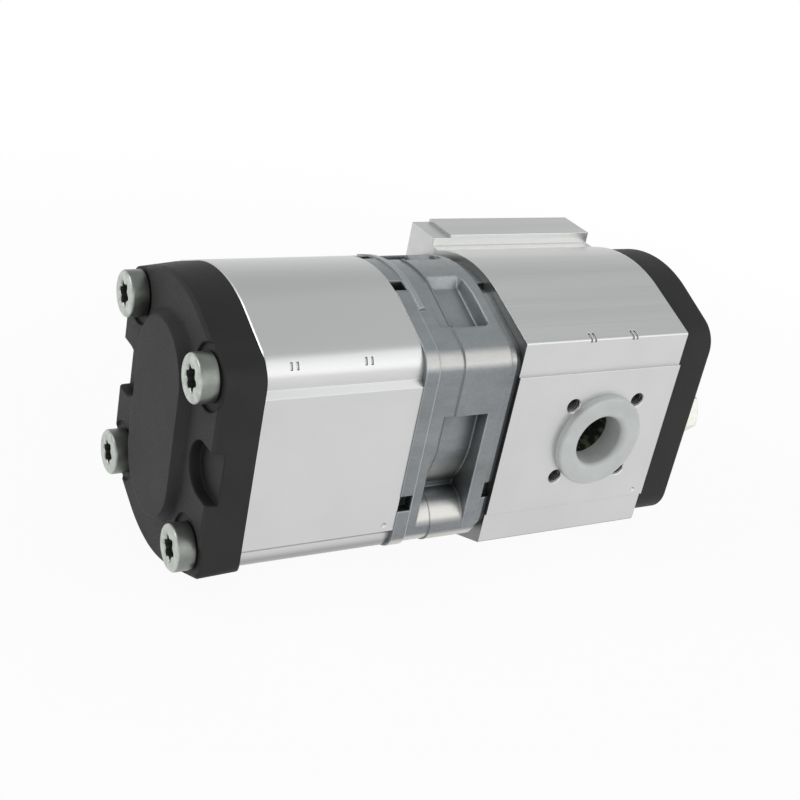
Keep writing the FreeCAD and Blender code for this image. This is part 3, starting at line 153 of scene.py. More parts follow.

# Shares of the base colour; all but CAST_SPECK paint light or shade
COVER_FLANK = 0.1
COVER_HOLLOW = 0.1
BODY_BELOW = 0.3
BODY_EDGE = 1.4
BODY_HOLLOW = 0.08
CAST_SPECK = 0.45
CAST_SHOULDER = 2.0
CAST_FLANK = 0.3
CAST_EDGE = 1.8
CAST_HIGHLIGHT = 2.3
CAST_HOLLOW = 0.12
SCREW_SIDE = 0.3
SCREW_HOLLOW = 0.12
THREAD_HOLLOW = 0.05

# Parts of a noise's range that a look spreads over all of its effect
SHARP = (0.38, 0.62)
MEDIUM = (0.35, 0.65)
SOFT = (0.3, 0.7)

# Helpers of the looks
EDGE_LIKENESS = (0.80, 0.98)
HOLLOW_SAMPLES = 8
BEVEL_SAMPLES = 6

SMOOTH_ANGLE = math.radians(35)

# Studio, in metres and watts; each lamp has a place, a width and a power
SUBJECT = (-0.08, 0.0, 0.017)
LAMPS = {
    "key_lamp": ((0.43, -0.60, 0.45), 0.85, 2.0),
    "side_lamp": ((-0.70, 0.22, 0.62), 0.40, 1.6),
    "near_lamp": ((-0.25, -0.85, 0.30), 0.80, 1.9),
    "top_lamp": ((0.43, 0.14, 0.73), 0.60, 0.15),
}
WORLD_LIGHT = 0.5
CEILING_GREY = (0.565, 0.575, 0.575)
CEILING_START = 0.0
CEILING_FULL = 0.6
SEEN_RAYS = ("Is Camera Ray", "Is Glossy Ray", "Is Transmission Ray")
WHITE = (1.0, 1.0, 1.0)
FLOOR_SIZE = 12.0
FLOOR_DROP = 0.0002
FLOOR_WHITE = (0.9, 0.9, 0.9)
SHADOW_SHARE = 0.06
SHADOW_NEAR = 0.16
SHADOW_FAR = 0.45

# Camera of the photograph, in the row frame
CAMERA_PLACE = (-0.34619, -0.35658, 0.22927)
CAMERA_RIGHT = (0.85900, -0.47792, 0.18360)
CAMERA_UP = (0.07600, 0.47366, 0.87742)
CAMERA_BACK = (-0.50630, -0.73975, 0.44320)
CAMERA_LENS = 61.0
CAMERA_SENSOR = 36.0
CAMERA_CLIP = (0.01, 50.0)


class Nodes:
    """A node tree in the making. Its helpers give the socket that holds their result."""

    def __init__(self, tree):
        self.tree = tree

    def node(self, kind, **values):
        made = self.tree.nodes.new(kind)
        for key, value in values.items():
            setattr(made, key, value)
        return made

    def link(self, source, target):
        self.tree.links.new(source, target)

    def feed(self, value, socket):
        """Gives a socket a number, a colour or what another node puts out."""
        if isinstance(value, (int, float)):
            socket.default_value = value
        elif isinstance(value, tuple):
            socket.default_value = (*value, 1.0)
        else:
            self.link(value, socket)

    def compute(self, operation, first, second=0.0):
        made = self.node("ShaderNodeMath", operation=operation)
        self.feed(first, made.inputs[0])
        self.feed(second, made.inputs[1])
        return made.outputs["Value"]

    def times(self, first, second):
        return self.compute("MULTIPLY", first, second)

    def plus(self, first, second):
        return self.compute("ADD", first, second)

    def average(self, first, second):
        return self.plus(self.times(first, 0.5), self.times(second, 0.5))

    def both(self, *factors):
        """The least of the factors: all have to hold."""
        return reduce(lambda first, second: self.compute("MINIMUM", first, second), factors)

    def either(self, *factors):
        """The largest of the factors: one is enough."""
        return reduce(lambda first, second: self.compute("MAXIMUM", first, second), factors)

    def spread(self, value, low, high, to_low, to_high):
        """Maps a value's range to another and clamps it."""
        made = self.node("ShaderNodeMapRange")
        made.inputs["From Min"].default_value = low
        made.inputs["From Max"].default_value = high
        made.inputs["To Min"].default_value = to_low
        made.inputs["To Max"].default_value = to_high
        self.link(value, made.inputs["Value"])
        return made.outputs["Result"]

    def rise(self, value, start, full, top=1.0):
        """Factor that grows from 0 to top as a value goes from start to full."""
        return self.spread(value, start, full, 0.0, top)

    def fall(self, value, full, end, top=1.0):
        """Factor that shrinks from top to 0 as a value goes from full to end."""
        return self.spread(value, full, end, top, 0.0)

    def within(self, value, limit, fade=1.0, top=1.0):
        """Factor that is top below a limit and fades to 0 just before it."""
        return self.fall(value, limit - fade, limit, top)

    def mix(self, kind, socket_type, factor, first, second):
        """Between two ends by a factor; the ends are the mix node's last two inputs of their type."""
        made = self.node("ShaderNodeMix", data_type=kind)
        self.feed(factor, made.inputs["Factor"])
        ends = [socket for socket in made.inputs if socket.type == socket_type][-2:]
        for value, socket in zip((first, second), ends):
            self.feed(value, socket)
        return next(socket for socket in made.outputs if socket.type == socket_type)

    def blend(self, factor, first, second):
        """Colour between two colours by a factor."""
        return self.mix("RGBA", "RGBA", factor, first, second)

    def mix_value(self, factor, first, second):
        """Value between two values by a factor."""
        return self.mix("FLOAT", "VALUE", factor, first, second)

    def part(self, vector, axis):
        """Part of a vector along an axis."""
        split = self.node("ShaderNodeSeparateXYZ")
        self.link(vector, split.inputs["Vector"])
        return split.outputs[axis]

    def seen_ray(self):
        """1 for a ray from the camera, a reflection or a clear body, and 0 for other light."""
        path = self.node("ShaderNodeLightPath")
        return self.either(*[path.outputs[name] for name in SEEN_RAYS])


class Look(Nodes):
    """A node material in the making, with coordinates in millimetres of the row frame."""

    def __init__(self, name, base, metallic, roughness):
        self.base = base
        self.material = bpy.data.materials.new(name)
        self.material.use_nodes = True
        super().__init__(self.material.node_tree)
        self.shader = self.tree.nodes["Principled BSDF"]
        self.set_plain("Base Color", (*base, 1.0))
        self.set_plain("Metallic", metallic)
        self.set_plain("Roughness", roughness)

    def set_plain(self, name, value):
        """Gives the shader a value that is the same all over."""
        self.shader.inputs[name].default_value = value

    def vary(self, pattern, smooth, rough):
        """Roughness between a smooth and a rough value by a pattern."""
        return self.spread(pattern, *SOFT, smooth, rough)

    def set_color(self, socket):
        self.link(socket, self.shader.inputs["Base Color"])

    def set_roughness(self, socket):
        self.link(socket, self.shader.inputs["Roughness"])

    def set_normal(self, socket):
        self.link(socket, self.shader.inputs["Normal"])

    def place(self, stretch=(1.0, 1.0, 1.0)):
        """Object coordinates in millimetres, multiplied by stretch."""
        coordinates = self.node("ShaderNodeTexCoord")
        mapping = self.node("ShaderNodeMapping")
        mapping.inputs["Scale"].default_value = [value / MM for value in stretch]
        self.link(coordinates.outputs["Object"], mapping.inputs["Vector"])
        return mapping.outputs["Vector"]

    def noise(self, scale, detail=3.0, roughness=0.55, stretch=(1.0, 1.0, 1.0)):
        """Noise with about scale spots to a millimetre."""
        made = self.node("ShaderNodeTexNoise")
        made.inputs["Scale"].default_value = scale
        made.inputs["Detail"].default_value = detail
        made.inputs["Roughness"].default_value = roughness
        self.link(self.place(stretch), made.inputs["Vector"])
        return made.outputs["Fac"]

    def toward(self, color, factor, share):
        """A colour that nears a share of the base colour by a factor."""
        return self.blend(factor, color, scaled(self.base, share))

    def mottle(self, pattern, span, dark, light):
        """The base colour, from a dark to a light share of it by a pattern."""
        factor = self.rise(pattern, *span)
        return self.blend(factor, scaled(self.base, dark), scaled(self.base, light))

    def along(self, axis):
        """Place along an axis in millimetres."""
        return self.part(self.place(), axis)

    def offset(self, axis, centre=0.0):
        """Distance from a plane across an axis, in millimetres."""
        return self.compute("ABSOLUTE", self.compute("SUBTRACT", self.along(axis), centre))

    def reach(self, first, second):
        """Length of a line that spans two distances at right angles."""
        squares = self.plus(self.compute("POWER", first, 2.0), self.compute("POWER", second, 2.0))
        return self.compute("SQRT", squares)

    def normal(self):
        return self.node("ShaderNodeNewGeometry").outputs["Normal"]

    def normal_part(self, axis):
        """Part of the surface normal along an axis."""
        return self.part(self.normal(), axis)

    def facing(self, axis):
        """How far the surface faces along an axis, either way."""
        return self.compute("ABSOLUTE", self.normal_part(axis))

    def soft_edges(self, radius):
        """Normals of rounded-looking edges of the given radius in millimetres."""
        made = self.node("ShaderNodeBevel", samples=BEVEL_SAMPLES)
        made.inputs["Radius"].default_value = radius * MM
        return made.outputs["Normal"]

    def edges(self, radius):
        """Factor that grows from 0 on open surfaces to 1 on edges."""
        likeness = self.node("ShaderNodeVectorMath", operation="DOT_PRODUCT")
        self.link(self.soft_edges(radius), likeness.inputs[0])
        self.link(self.normal(), likeness.inputs[1])
        return self.fall(likeness.outputs["Value"], *EDGE_LIKENESS)

    def hollows(self, distance, closed, open_from, alone=False):
        """Factor that grows from 0 on open surfaces to 1 deep in recesses, of the piece alone if asked."""
        made = self.node("ShaderNodeAmbientOcclusion", samples=HOLLOW_SAMPLES, only_local=alone)
        made.inputs["Distance"].default_value = distance * MM
        return self.fall(made.outputs["AO"], closed, open_from)

    def bump(self, height, normal, distance, strength):
        """Normals raised by a height pattern of the given distance in millimetres."""
        made = self.node("ShaderNodeBump")
        made.inputs["Strength"].default_value = strength
        made.inputs["Distance"].default_value = distance * MM
        self.link(height, made.inputs["Height"])
        self.link(normal, made.inputs["Normal"])
        return made.outputs["Normal"]


def scaled(color, factor):
    """A colour made lighter or darker."""
    return tuple(min(channel * factor, 1.0) for channel in color)


def cast_cover():
    """Dark finish of the cast end covers, with a fine sandy skin, and painted shade on its side faces and
    in its hollows.
    """
    look = Look("cover_dark_casting", COVER_BLACK, metallic=0.0, roughness=0.60)
    blotch = look.noise(0.06, detail=4.0)
    grain = look.noise(1.6, roughness=0.6)
    fine = look.noise(4.5, detail=2.0)
    skin = look.mottle(look.average(blotch, grain), MEDIUM, dark=0.78, light=1.28)
    # Painted shade: faces that don't face along the shaft get darker
    skin = look.toward(skin, look.fall(look.facing("X"), 0.1, 0.4, top=0.25), COVER_FLANK)
    # Painted shade in the hollows
    shade = look.times(look.hollows(11.0, closed=0.35, open_from=0.95), 0.9)
    look.set_color(look.toward(skin, shade, COVER_HOLLOW))
    look.set_roughness(look.vary(grain, smooth=0.52, rough=0.70))
    height = look.plus(grain, look.times(fine, 0.4))
    look.set_normal(look.bump(height, look.soft_edges(1.2), distance=0.10, strength=0.5))
    look.set_plain("Specular IOR Level", 0.28)
    return look.material


def cavity_walls(look):
    """Factor that is 1 on the walls of the housing's cavity, where shade is painted, and 0 on its outer
    faces.
    """
    return look.both(look.within(look.offset("Y"), CAVITY_HALF_WIDTH),
                     look.within(look.offset("Z", MID_Z), CAVITY_HALF_HEIGHT))


def body_shade(look):
    """Factor of the painted shade on a body: in tick marks and port holes, on the cavity's walls and on
    end faces beside the flange.
    """
    ticks = look.times(look.hollows(3.0, closed=0.3, open_from=0.75, alone=True), 0.4)
    holes = look.times(look.hollows(10.0, closed=0.25, open_from=0.78, alone=True),
                       look.within(look.offset("Z", MID_Z), PORT_SPAN))
    end = look.both(look.rise(look.facing("X"), 0.8, 0.95, top=0.75),
                    look.within(look.along("Y"), WEB_INNER_Y - 1))
    end = look.times(end, look.spread(look.along("Z"), *END_DARK_Z, 1.0, 0.3))
    return look.either(ticks, holes, cavity_walls(look), end)


def web_side(look):
    """Factor that is 1 on the near side of the web that stands up past the front body's crown, where light
    is painted.
    """
    above = look.rise(look.offset("Z", MID_Z), WEB_FOOT_ABOVE_MID, WEB_FOOT_ABOVE_MID + 0.3)
    return look.both(above, look.within(look.offset("Y", WEB_INNER_Y), 1.0, fade=0.5))


def extruded_aluminium(name, line_contrast, line_height):
    """Drawn aluminium with lines along the shaft, and milled pads on its flanks; painted shade and painted
    light are worked into its colour.
    """
    look = Look(name, BODY_ALUMINIUM, metallic=0.9, roughness=0.30)
    lines = look.noise(1.0, detail=5.0, roughness=0.65, stretch=(0.008, 2.4, 2.4))
    broad = look.noise(1.0, detail=2.0, stretch=(0.004, 0.17, 0.17))
    cloud = look.noise(0.03)
    grain = look.noise(1.0, detail=2.0, stretch=(3.0, 3.0, 3.0))
    flank = look.rise(look.facing("Y"), 0.975, 0.99)
    drawn = look.mottle(look.average(lines, broad), SHARP, 1.0 - line_contrast, 1.0 + line_contrast)
    milled = look.mottle(cloud, MEDIUM, dark=1.0, light=1.05)
    # Painted shade: faces turned downward get darker
    below = look.rise(look.normal_part("Z"), -0.05, -0.35, top=0.62)
    skin = look.toward(look.blend(flank, drawn, milled), below, BODY_BELOW)
    # Painted highlight: edges get lighter
    skin = look.toward(skin, look.times(look.edges(0.4), 0.5), BODY_EDGE)
    skin = look.toward(skin, look.times(body_shade(look), 0.92), BODY_HOLLOW)
    # Painted light: the web's near side is made almost white to stand in for the bright light it catches
    look.set_color(look.blend(look.times(web_side(look), flank), skin, WEB_PAINTED_LIGHT))
    rough_drawn = look.vary(lines, smooth=0.30, rough=0.38)
    rough_milled = look.vary(grain, smooth=0.36, rough=0.44)
    look.set_roughness(look.mix_value(flank, rough_drawn, rough_milled))
    height = look.mix_value(flank, lines, look.times(grain, 0.4))
    look.set_normal(look.bump(height, look.soft_edges(0.3), distance=line_height, strength=0.5))
    return look.material


def drawn_body():
    """Front body: plainly drawn, with its lines showing."""
    return extruded_aluminium("body_drawn_aluminium", line_contrast=0.06, line_height=0.014)


def satin_body():
    """Rear body: smoother, with a satin skin."""
    return extruded_aluminium("body_satin_aluminium", line_contrast=0.008, line_height=0.004)


def tapped_thread():
    """Cut threads of the port holes, in a dark grey of painted shade, darker still deep inside the hole as
    painted shade.
    """
    look = Look("tapped_thread_aluminium", THREAD_GREY, metallic=0.9, roughness=0.3)
    skin = look.mottle(look.noise(1.0, detail=2.0), SOFT, dark=0.9, light=1.1)
    look.set_color(look.toward(skin, look.hollows(10.0, closed=0.15, open_from=0.75), THREAD_HOLLOW))
    return look.material


def flange_painted_highlights(look):
    """Factor of the painted highlights on the flange: along the rim's edge and on the ridge over the
    crown.
    """
    rim = look.fall(look.offset("X", FLANGE_RIM_X), 0.2, 0.5, top=0.55)
    ridge = look.both(look.fall(look.offset("X", FLANGE_RIDGE_X), 0.9, 1.2, top=0.25),
                      look.within(look.offset("Y"), FLANGE_RIDGE_SPAN, fade=0.5))
    return look.either(rim, ridge)


def flange_painted_shade(look):
    """Factor of the painted shade on the flange: along the parting line, in the gap at the front body and
    in the crown dent.
    """
    parting = look.fall(look.offset("X", FLANGE_PARTING_X), 0.15, 0.4, top=0.55)
    gap = look.times(look.rise(look.along("X"), FLANGE_GAP_X - 0.3, FLANGE_GAP_X, top=0.95),
                     look.spread(look.facing("Y"), 0.5, 0.8, 0.4, 1.0))
    x, y = CROWN_MARK_CENTRE
    past = look.compute("MAXIMUM", look.compute("SUBTRACT", look.offset("X", x), CROWN_MARK_STRAIGHT), 0.0)
    oval = look.within(look.reach(past, look.offset("Y", y)), CROWN_MARK_RADIUS, fade=0.5, top=0.5)
    crown = look.rise(look.along("Z"), MID_Z + CROWN_ABOVE_MID - 1, MID_Z + CROWN_ABOVE_MID)
    return look.either(parting, gap, look.times(oval, crown))


def flange_bend_highlights(look):
    """Factor of the painted highlight on the bends at the flange's sides, strongest on the screw tunnels
    below.
    """
    flank = look.facing("Y")
    bend = look.both(look.rise(flank, 0.55, 0.75, top=0.6), look.fall(flank, 0.91, 0.975, top=0.6))
    outer = look.times(bend, look.rise(look.offset("Y"), *FLANGE_BEND_Y))
    return look.times(outer, look.spread(look.along("Z"), *FLANGE_BEND_Z, 1.5, 0.9))


def die_cast():
    """Grey die-cast skin of the flange between the bodies, with painted shade in its recesses and on its
    flanks, and painted light on its tops, bends, edges and ridges.
    """
    look = Look("flange_die_cast", CAST_GREY, metallic=0.85, roughness=0.36)
    flow = look.noise(1.0, detail=4.0, roughness=0.6, stretch=(0.06, 0.11, 0.11))
    grain = look.noise(1.1, detail=4.0, roughness=0.6)
    flank = look.facing("Y")
    skin = look.mottle(flow, SOFT, dark=0.84, light=1.12)
    skin = look.toward(skin, look.rise(grain, *MEDIUM, top=0.14), CAST_SPECK)
    # Painted light on faces that turn away from the flanks
    skin = look.toward(skin, look.fall(flank, 0.5, 0.95, top=0.16), CAST_SHOULDER)
    # Painted shade on the flanks
    skin = look.toward(skin, look.rise(flank, 0.94, 0.985, top=0.12), CAST_FLANK)
    # Painted highlight on the bends, stronger lower down
    skin = look.blend(flange_bend_highlights(look), skin, BEND_HIGHLIGHT_GREY)
    # Painted highlight: edges get lighter
    skin = look.toward(skin, look.times(look.edges(0.9), 0.7), CAST_EDGE)
    # Painted highlight along the rim's edge and on the ridge
    skin = look.toward(skin, flange_painted_highlights(look), CAST_HIGHLIGHT)
    # Painted shade in the recesses, along the parting line, in the gap and in the crown dent
    hollow = look.times(look.hollows(9.0, closed=0.25, open_from=0.85), 0.9)
    shade = look.either(hollow, flange_painted_shade(look))
    look.set_color(look.toward(skin, shade, CAST_HOLLOW))
    look.set_roughness(look.vary(grain, smooth=0.30, rough=0.44))
    look.set_normal(look.bump(grain, look.soft_edges(1.1), distance=0.05, strength=0.4))
    return look.material


def zinc_steel():
    """Zinc-plated screw steel with a faint green cast, and painted shade on faces that don't face along
    the axis, such as the heads' sides, and in hollows.
    """
    look = Look("screw_zinc_plate", SCREW_ZINC, metallic=0.85, roughness=0.36)
    fine = look.noise(3.0, detail=2.0)
    skin = look.mottle(look.noise(0.35), MEDIUM, dark=0.84, light=1.14)
    # Painted shade on faces that don't face along the axis, such as the heads' sides
    skin = look.toward(skin, look.fall(look.facing("X"), 0.3, 0.8, top=0.8), SCREW_SIDE)
    # Painted shade in the hollows
    shade = look.times(look.hollows(8.0, closed=0.0, open_from=0.8), 0.85)
    look.set_color(look.toward(skin, shade, SCREW_HOLLOW))
    look.set_roughness(look.vary(fine, smooth=0.30, rough=0.44))
    look.set_normal(look.bump(fine, look.soft_edges(0.3), distance=0.02, strength=0.4))
    return look.material


def bright_zinc():
    """Bright zinc of the shaft nut and washer."""
    look = Look("nut_bright_zinc", NUT_ZINC, metallic=0.85, roughness=0.30)
    cloud = look.noise(0.5)
    look.set_color(look.mottle(cloud, MEDIUM, dark=0.95, light=1.03))
    look.set_roughness(look.vary(cloud, smooth=0.34, rough=0.42))
    look.set_normal(look.soft_edges(0.4))
    return look.material


def ground_steel():
    """Ground steel of the gears and shafts, with fine rings round the axis."""
    look = Look("gear_ground_steel", GEAR_STEEL, metallic=0.9, roughness=0.26)
    rings = look.noise(1.0, stretch=(3.0, 0.02, 0.02))
    look.set_color(look.mottle(look.noise(0.2), MEDIUM, dark=0.85, light=1.1))
    look.set_roughness(look.vary(rings, smooth=0.2, rough=0.34))
    look.set_normal(look.bump(rings, look.soft_edges(0.15), distance=0.01, strength=0.4))
    return look.material


def bearing_aluminium():
    """Machined aluminium of the bearing blocks."""
    look = Look("bearing_machined_aluminium", BEARING_ALUMINIUM, metallic=0.8, roughness=0.35)
    turned = look.noise(1.0, detail=2.0, stretch=(2.5, 0.05, 0.05))
    look.set_color(look.mottle(turned, SOFT, dark=0.9, light=1.08))
    look.set_roughness(look.vary(turned, smooth=0.3, rough=0.42))
    return look.material


def bush_lining():
    """Dull bronze lining of the bushes."""
    look = Look("bush_bronze_lining", BUSH_BRONZE, metallic=0.7, roughness=0.4)
    look.set_color(look.mottle(look.noise(2.0), MEDIUM, dark=0.75, light=1.15))
    return look.material


def seal_rubber():
    """Black moulded rubber."""
    look = Look("seal_black_rubber", RUBBER_BLACK, metallic=0.0, roughness=0.5)
    skin = look.noise(1.5)
    look.set_color(look.mottle(skin, SOFT, dark=1.0, light=1.6))
    look.set_roughness(look.vary(skin, smooth=0.42, rough=0.6))
    return look.material


def backup_plastic():
    """Pale plastic of the backup rings."""
    look = Look("backup_ring_plastic", BACKUP_CREAM, metallic=0.0, roughness=0.45)
    look.set_color(look.mottle(look.noise(0.8, detail=2.0), SOFT, dark=0.92, light=1.06))
    return look.material


def spring_steel():
    """Dark phosphated spring steel."""
    look = Look("circlip_phosphated_steel", CIRCLIP_GREY, metallic=0.6, roughness=0.45)
    look.set_color(look.mottle(look.noise(1.2), SOFT, dark=0.8, light=1.3))
    return look.material


def dowel_steel():
    """Plain ground dowel steel."""
    look = Look("dowel_ground_steel", DOWEL_STEEL, metallic=0.9, roughness=0.3)
    skin = look.noise(1.0, detail=2.0, stretch=(2.0, 0.2, 0.2))
    look.set_roughness(look.vary(skin, smooth=0.24, rough=0.38))
    return look.material


def plug_end(look):
    """Factor that is 1 on the suction plug's inner wall past the place where the port's shade and glints
    are painted.
    """
    radius = look.reach(look.offset("X", SUCTION_PORT_X), look.offset("Z", MID_Z))
    wall = look.fall(radius, PLUG_INNER_RADIUS, PLUG_INNER_RADIUS + 0.2)
    deep = look.rise(look.along("Y"), PLUG_END_Y - 0.4, PLUG_END_Y)
    near_side = look.fall(look.along("Y"), 0.0, 1.0)
    return look.both(wall, deep, near_side)


def plug_plastic():
    """Milky plastic of the port plugs, which lets some light through, with painted shade inside and, past
    the suction plug's end, painted shade and glints.
    """
    look = Look("plug_milky_plastic", PLUG_MILK, metallic=0.0, roughness=0.38)
    skin = look.mottle(look.noise(0.12), MEDIUM, dark=0.95, light=1.05)
    # Painted shade deep in the plug
    shaded = look.blend(look.hollows(22.0, closed=0.02, open_from=0.40), skin, PLUG_PAINTED_SHADE)
    # Painted glints in the painted shade past the plug's end
    glint = look.rise(look.noise(0.5, detail=2.0, stretch=(0.5, 0.5, 1.2)), 0.52, 0.62)
    look.set_color(look.blend(plug_end(look), shaded, look.blend(glint, PORT_PAINTED_SHADE, PORT_GLINT)))
    look.set_plain("Subsurface Weight", 0.8)
    look.set_plain("Subsurface Radius", (PLUG_SCATTER,) * 3)
    look.set_plain("Transmission Weight", 0.12)
    look.set_plain("IOR", 1.5)
    fine = look.noise(2.5, detail=2.0)
    look.set_normal(look.bump(fine, look.soft_edges(0.3), distance=0.02, strength=0.3))
    return look.material


SLOT_LOOKS = {
    "cover_dark": cast_cover,
    "body_aluminium": drawn_body,
    "flange_aluminium": die_cast,
    "screw_zinc": zinc_steel,
    "steel_ground": ground_steel,
    "steel_zinc": bright_zinc,
    "bearing_aluminium": bearing_aluminium,
    "bush_bronze": bush_lining,
    "seal_rubber": seal_rubber,
    "backup_plastic": backup_plastic,
    "plug_plastic": plug_plastic,
    "spring_steel": spring_steel,
    "dowel_steel": dowel_steel,
}
NODE_LOOKS = {"rear_body": satin_body, "port_threads": tapped_thread}


def dress_frame():
    """Gives every CAD node the look of its material slot, or its own where it has one."""
    looks = {slot: make() for slot, make in SLOT_LOOKS.items()}
    own = {name: make() for name, make in NODE_LOOKS.items()}
    for entry in RECORD["subparts"]:
        mesh = frame["nodes"][entry["node"]].data
        mesh.materials.clear()
        mesh.materials.append(own.get(entry["node"], looks[entry["material_slot"]]))
    return {**looks, **own}


def join_rings(mesh, first, second):
    """Faces between two rings of points, either of which may be a single point."""
    count = max(len(first), len(second))
    for index in range(count):
        following = (index + 1) % count
        if len(first) == 1:
            mesh.faces.new((first[0], second[index], second[following]))
        elif len(second) == 1:
            mesh.faces.new((first[following], first[index], second[0]))
        else:
            mesh.faces.new((first[following], first[index], second[index], second[following]))


def add_turned(mesh, origin, axes, profile, steps):
    """Adds a solid turned round the first axis.

    The profile lists (distance along the axis, radius) in millimetres. A radius may depend on the angle.
    """
    axis, right, up = axes
    rings = []
    for along, radius in profile:
        centre = origin + axis * (along * MM)
        if radius == 0.0:
            rings.append([mesh.verts.new(centre)])
            continue
        ring = []
        for index in range(steps):
            angle = 2 * math.pi * index / steps
            reach = radius(angle) if callable(radius) else radius
            side = right * math.cos(angle) + up * math.sin(angle)
            ring.append(mesh.verts.new(centre + side * (reach * MM)))
        rings.append(ring)
    for first, second in zip(rings, rings[1:]):
        join_rings(mesh, first, second)


def add_thread(mesh, origin, axes, foot, crest, pitch, length):
    """Adds a helical ridge from the foot radius to the crest radius, in millimetres."""
    axis, right, up = axes
    section = ((-THREAD_FOOT, foot), (-THREAD_CREST, crest), (THREAD_CREST, crest), (THREAD_FOOT, foot))
    rings = []
    for index in range(int((length / pitch - 1) * THREAD_STEPS) + 1):
        turns = index / THREAD_STEPS
        angle = 2 * math.pi * turns
        side = right * math.cos(angle) + up * math.sin(angle)
        ring = []
        for shift, radius in section:
            advance = (turns + THREAD_START + shift) * pitch
            ring.append(mesh.verts.new(origin + axis * (advance * MM) + side * (radius * MM)))
        rings.append(ring)
    for first, second in zip(rings, rings[1:]):
        join_rings(mesh, first, second)
    mesh.faces.new(rings[0])
    mesh.faces.new(reversed(rings[-1]))


def make_piece(name, mesh, material, body):
    """Turns a finished mesh into a piece that rides on a body."""
    bmesh.ops.recalc_face_normals(mesh, faces=mesh.faces)
    for face in mesh.faces:
        face.smooth = True
    for edge in mesh.edges:
        edge.smooth = edge.calc_face_angle(0.0) < SMOOTH_ANGLE
    data = bpy.data.meshes.new(name)
    mesh.to_mesh(data)
    mesh.free()
    data.materials.append(material)
    piece = bpy.data.objects.new(name, data)
    bpy.context.scene.collection.objects.link(piece)
    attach(piece, body)
    return piece


def screw_profile(length):
    """Socket, head and shank of a screw, from the socket's bottom to the shank's end."""
    top = SCREW_HEAD_HEIGHT

    def lobes(extra):
        return lambda angle: SOCKET_RADIUS + SOCKET_WAVE * math.cos(SOCKET_LOBES * angle) + extra

    profile = [(top - SOCKET_DEPTH - SOCKET_CONE, 0.0),
               (top - SOCKET_DEPTH, lobes(0.0)),
               (top - SOCKET_RIM, lobes(0.0)),
               (top, lobes(SOCKET_RIM))]
    for step in range(FILLET_STEPS + 1):
        angle = math.pi / 2 * step / FILLET_STEPS
        profile.append((top - SCREW_HEAD_FILLET * (1 - math.cos(angle)),
                        SCREW_HEAD_RADIUS - SCREW_HEAD_FILLET * (1 - math.sin(angle))))
    profile += [(SCREW_SEAT_CHAMFER, SCREW_HEAD_RADIUS),
                (0.0, SCREW_HEAD_RADIUS - SCREW_SEAT_CHAMFER),
                (0.0, SCREW_SHANK_RADIUS),
                (SCREW_END_CHAMFER - length, SCREW_SHANK_RADIUS),
                (-length, SCREW_SHANK_RADIUS - SCREW_END_CHAMFER),
                (-length, 0.0)]
    return profile


def make_screws(looks):
    """Four socket screws with filleted heads in place of the plain ones."""
    low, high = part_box("through_screws")
    reach = SCREW_HEAD_RADIUS * MM
    seat_x = low.x + SCREW_HEAD_HEIGHT * MM
    profile = screw_profile((high.x - seat_x) / MM)
    axes = (-X_AXIS, Y_AXIS, Z_AXIS)
    mesh = bmesh.new()
    for y in (low.y + reach, high.y - reach):
        for z in (low.z + reach, high.z - reach):
            add_turned(mesh, Vector((seat_x, y, z)), axes, profile, SCREW_STEPS)
    piece = make_piece("socket_screws", mesh, looks["screw_zinc"], "housing")
    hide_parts("through_screws")


def make_port_threads(looks):
    """Threads in the tapped holes round the ports."""
    for name, mount in MOUNTS.items():
        if not name.endswith("port_holes"):
            continue
        centre = Vector(mount["pos_m"])
        inward = -Vector(mount["axis"])
        axes = (inward, X_AXIS, inward.cross(X_AXIS))
        radius = mount["dims"]["hole_r_mm"]
        step_x = mount["dims"]["spacing_x_mm"] * MM / 2
        step_z = mount["dims"]["spacing_y_mm"] * MM / 2
        mesh = bmesh.new()
        for side_x in (-1, 1):
            for side_z in (-1, 1):
                mouth = centre + Vector((side_x * step_x, 0, side_z * step_z))
                add_thread(mesh, mouth, axes, radius + THREAD_EMBED, radius - PORT_THREAD_HEIGHT,
                           PORT_THREAD_PITCH, PORT_THREAD_LENGTH)
        make_piece(name.replace("holes", "threads"), mesh, looks["port_threads"], "housing")


def make_shaft_thread(looks):
    """Thread of the shaft's end beyond the nut."""
    end_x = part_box("front_drive_gear")[1].x
    start = Vector((end_x - SHAFT_THREAD_LENGTH * MM, 0, 0))
    axes = (X_AXIS, Y_AXIS, Z_AXIS)
    mesh = bmesh.new()
    add_thread(mesh, start, axes, SHAFT_THREAD_CORE - THREAD_EMBED, SHAFT_THREAD_RADIUS,
               SHAFT_THREAD_PITCH, SHAFT_THREAD_LENGTH)
    make_piece("shaft_thread", mesh, looks["steel_ground"], "drive_shaft")


def aim(thing, target):
    """Points a lamp's or camera's -Z at a target."""
    direction = Vector(target) - thing.location
    thing.rotation_euler = direction.to_track_quat("-Z", "Y").to_euler()


def area_lamp(name, place, size, power):
    """A soft square lamp aimed at the subject."""
    data = bpy.data.lights.new(name, "AREA")
    data.shape = "SQUARE"
    data.size = size
    data.energy = power
    lamp = bpy.data.objects.new(name, data)
    lamp.location = Vector(SUBJECT) + Vector(place)
    bpy.context.scene.collection.objects.link(lamp)
    aim(lamp, SUBJECT)


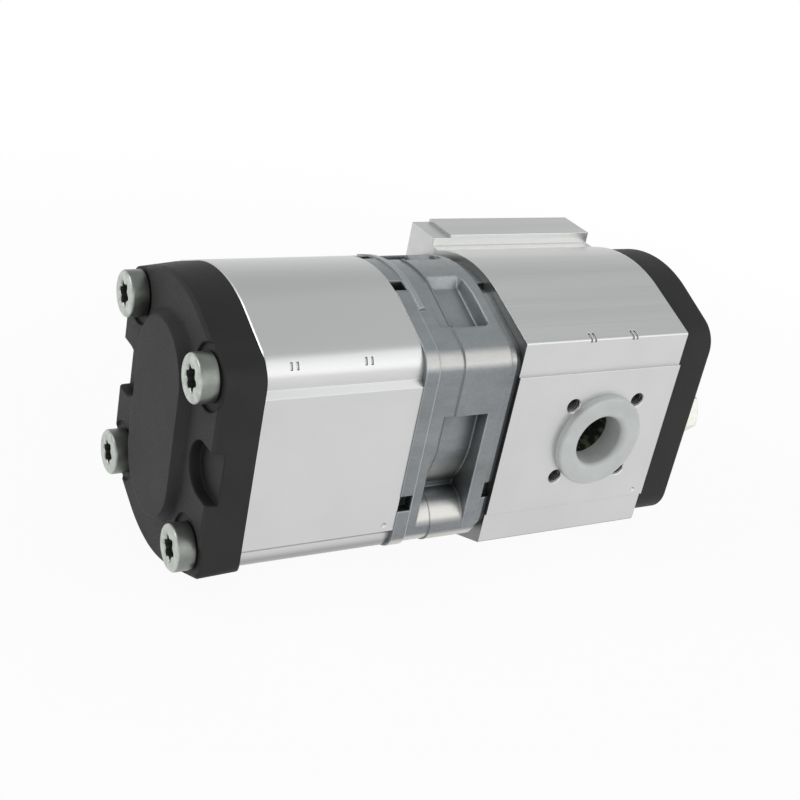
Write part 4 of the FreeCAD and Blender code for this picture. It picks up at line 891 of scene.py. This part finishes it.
def make_world():
    """White surroundings under a greyer ceiling that only reflections show."""
    world = bpy.data.worlds.new("studio")
    bpy.context.scene.world = world
    world.use_nodes = True
    nodes = Nodes(world.node_tree)
    background = nodes.tree.nodes["Background"]
    strength = nodes.spread(nodes.seen_ray(), 0.0, 1.0, WORLD_LIGHT, 1.0)
    nodes.link(strength, background.inputs["Strength"])
    direction = nodes.node("ShaderNodeTexCoord").outputs["Generated"]
    height = nodes.rise(nodes.part(direction, "Z"), CEILING_START, CEILING_FULL)
    seen_directly = nodes.node("ShaderNodeLightPath").outputs["Is Camera Ray"]
    ceiling = nodes.compute("MAXIMUM", nodes.compute("SUBTRACT", height, seen_directly), 0.0)
    nodes.link(nodes.blend(ceiling, WHITE, CEILING_GREY), background.inputs["Color"])


def make_floor():
    """Pale floor that keeps the object's shadow near it and fades to white farther off."""
    low = cad_box[0].z
    bpy.ops.mesh.primitive_plane_add(size=FLOOR_SIZE, location=(0.0, 0.0, low - FLOOR_DROP))
    floor = bpy.context.object
    floor.name = "floor"
    look = Look("floor_white", FLOOR_WHITE, metallic=0.0, roughness=0.8)
    place = look.node("ShaderNodeNewGeometry")
    distance = look.node("ShaderNodeVectorMath", operation="DISTANCE")
    look.link(place.outputs["Position"], distance.inputs[0])
    distance.inputs[1].default_value = (SUBJECT[0], SUBJECT[1], low)
    white = look.spread(distance.outputs["Value"], SHADOW_NEAR, SHADOW_FAR, 1.0 - SHADOW_SHARE, 1.0)
    glow = look.node("ShaderNodeEmission")
    mixed = look.node("ShaderNodeMixShader")
    look.link(look.times(white, look.seen_ray()), mixed.inputs["Fac"])
    look.link(look.shader.outputs["BSDF"], mixed.inputs[1])
    look.link(glow.outputs["Emission"], mixed.inputs[2])
    look.link(mixed.outputs["Shader"], look.tree.nodes["Material Output"].inputs["Surface"])
    floor.data.materials.append(look.material)


def make_camera():
    """The photograph's camera."""
    data = bpy.data.cameras.new("camera")
    data.lens = CAMERA_LENS
    data.sensor_width = CAMERA_SENSOR
    data.clip_start, data.clip_end = CAMERA_CLIP
    camera = bpy.data.objects.new("camera", data)
    bpy.context.scene.collection.objects.link(camera)
    axes = Matrix((CAMERA_RIGHT, CAMERA_UP, CAMERA_BACK)).transposed()
    camera.matrix_world = Matrix.Translation(CAMERA_PLACE) @ axes.to_4x4()
    bpy.context.scene.camera = camera


bpy.context.scene.view_settings.view_transform = "Standard"
looks = dress_frame()
make_screws(looks)
make_port_threads(looks)
make_shaft_thread(looks)
make_camera()
for lamp_name, (lamp_place, lamp_size, lamp_power) in LAMPS.items():
    area_lamp(lamp_name, lamp_place, lamp_size, lamp_power)
make_world()
make_floor()
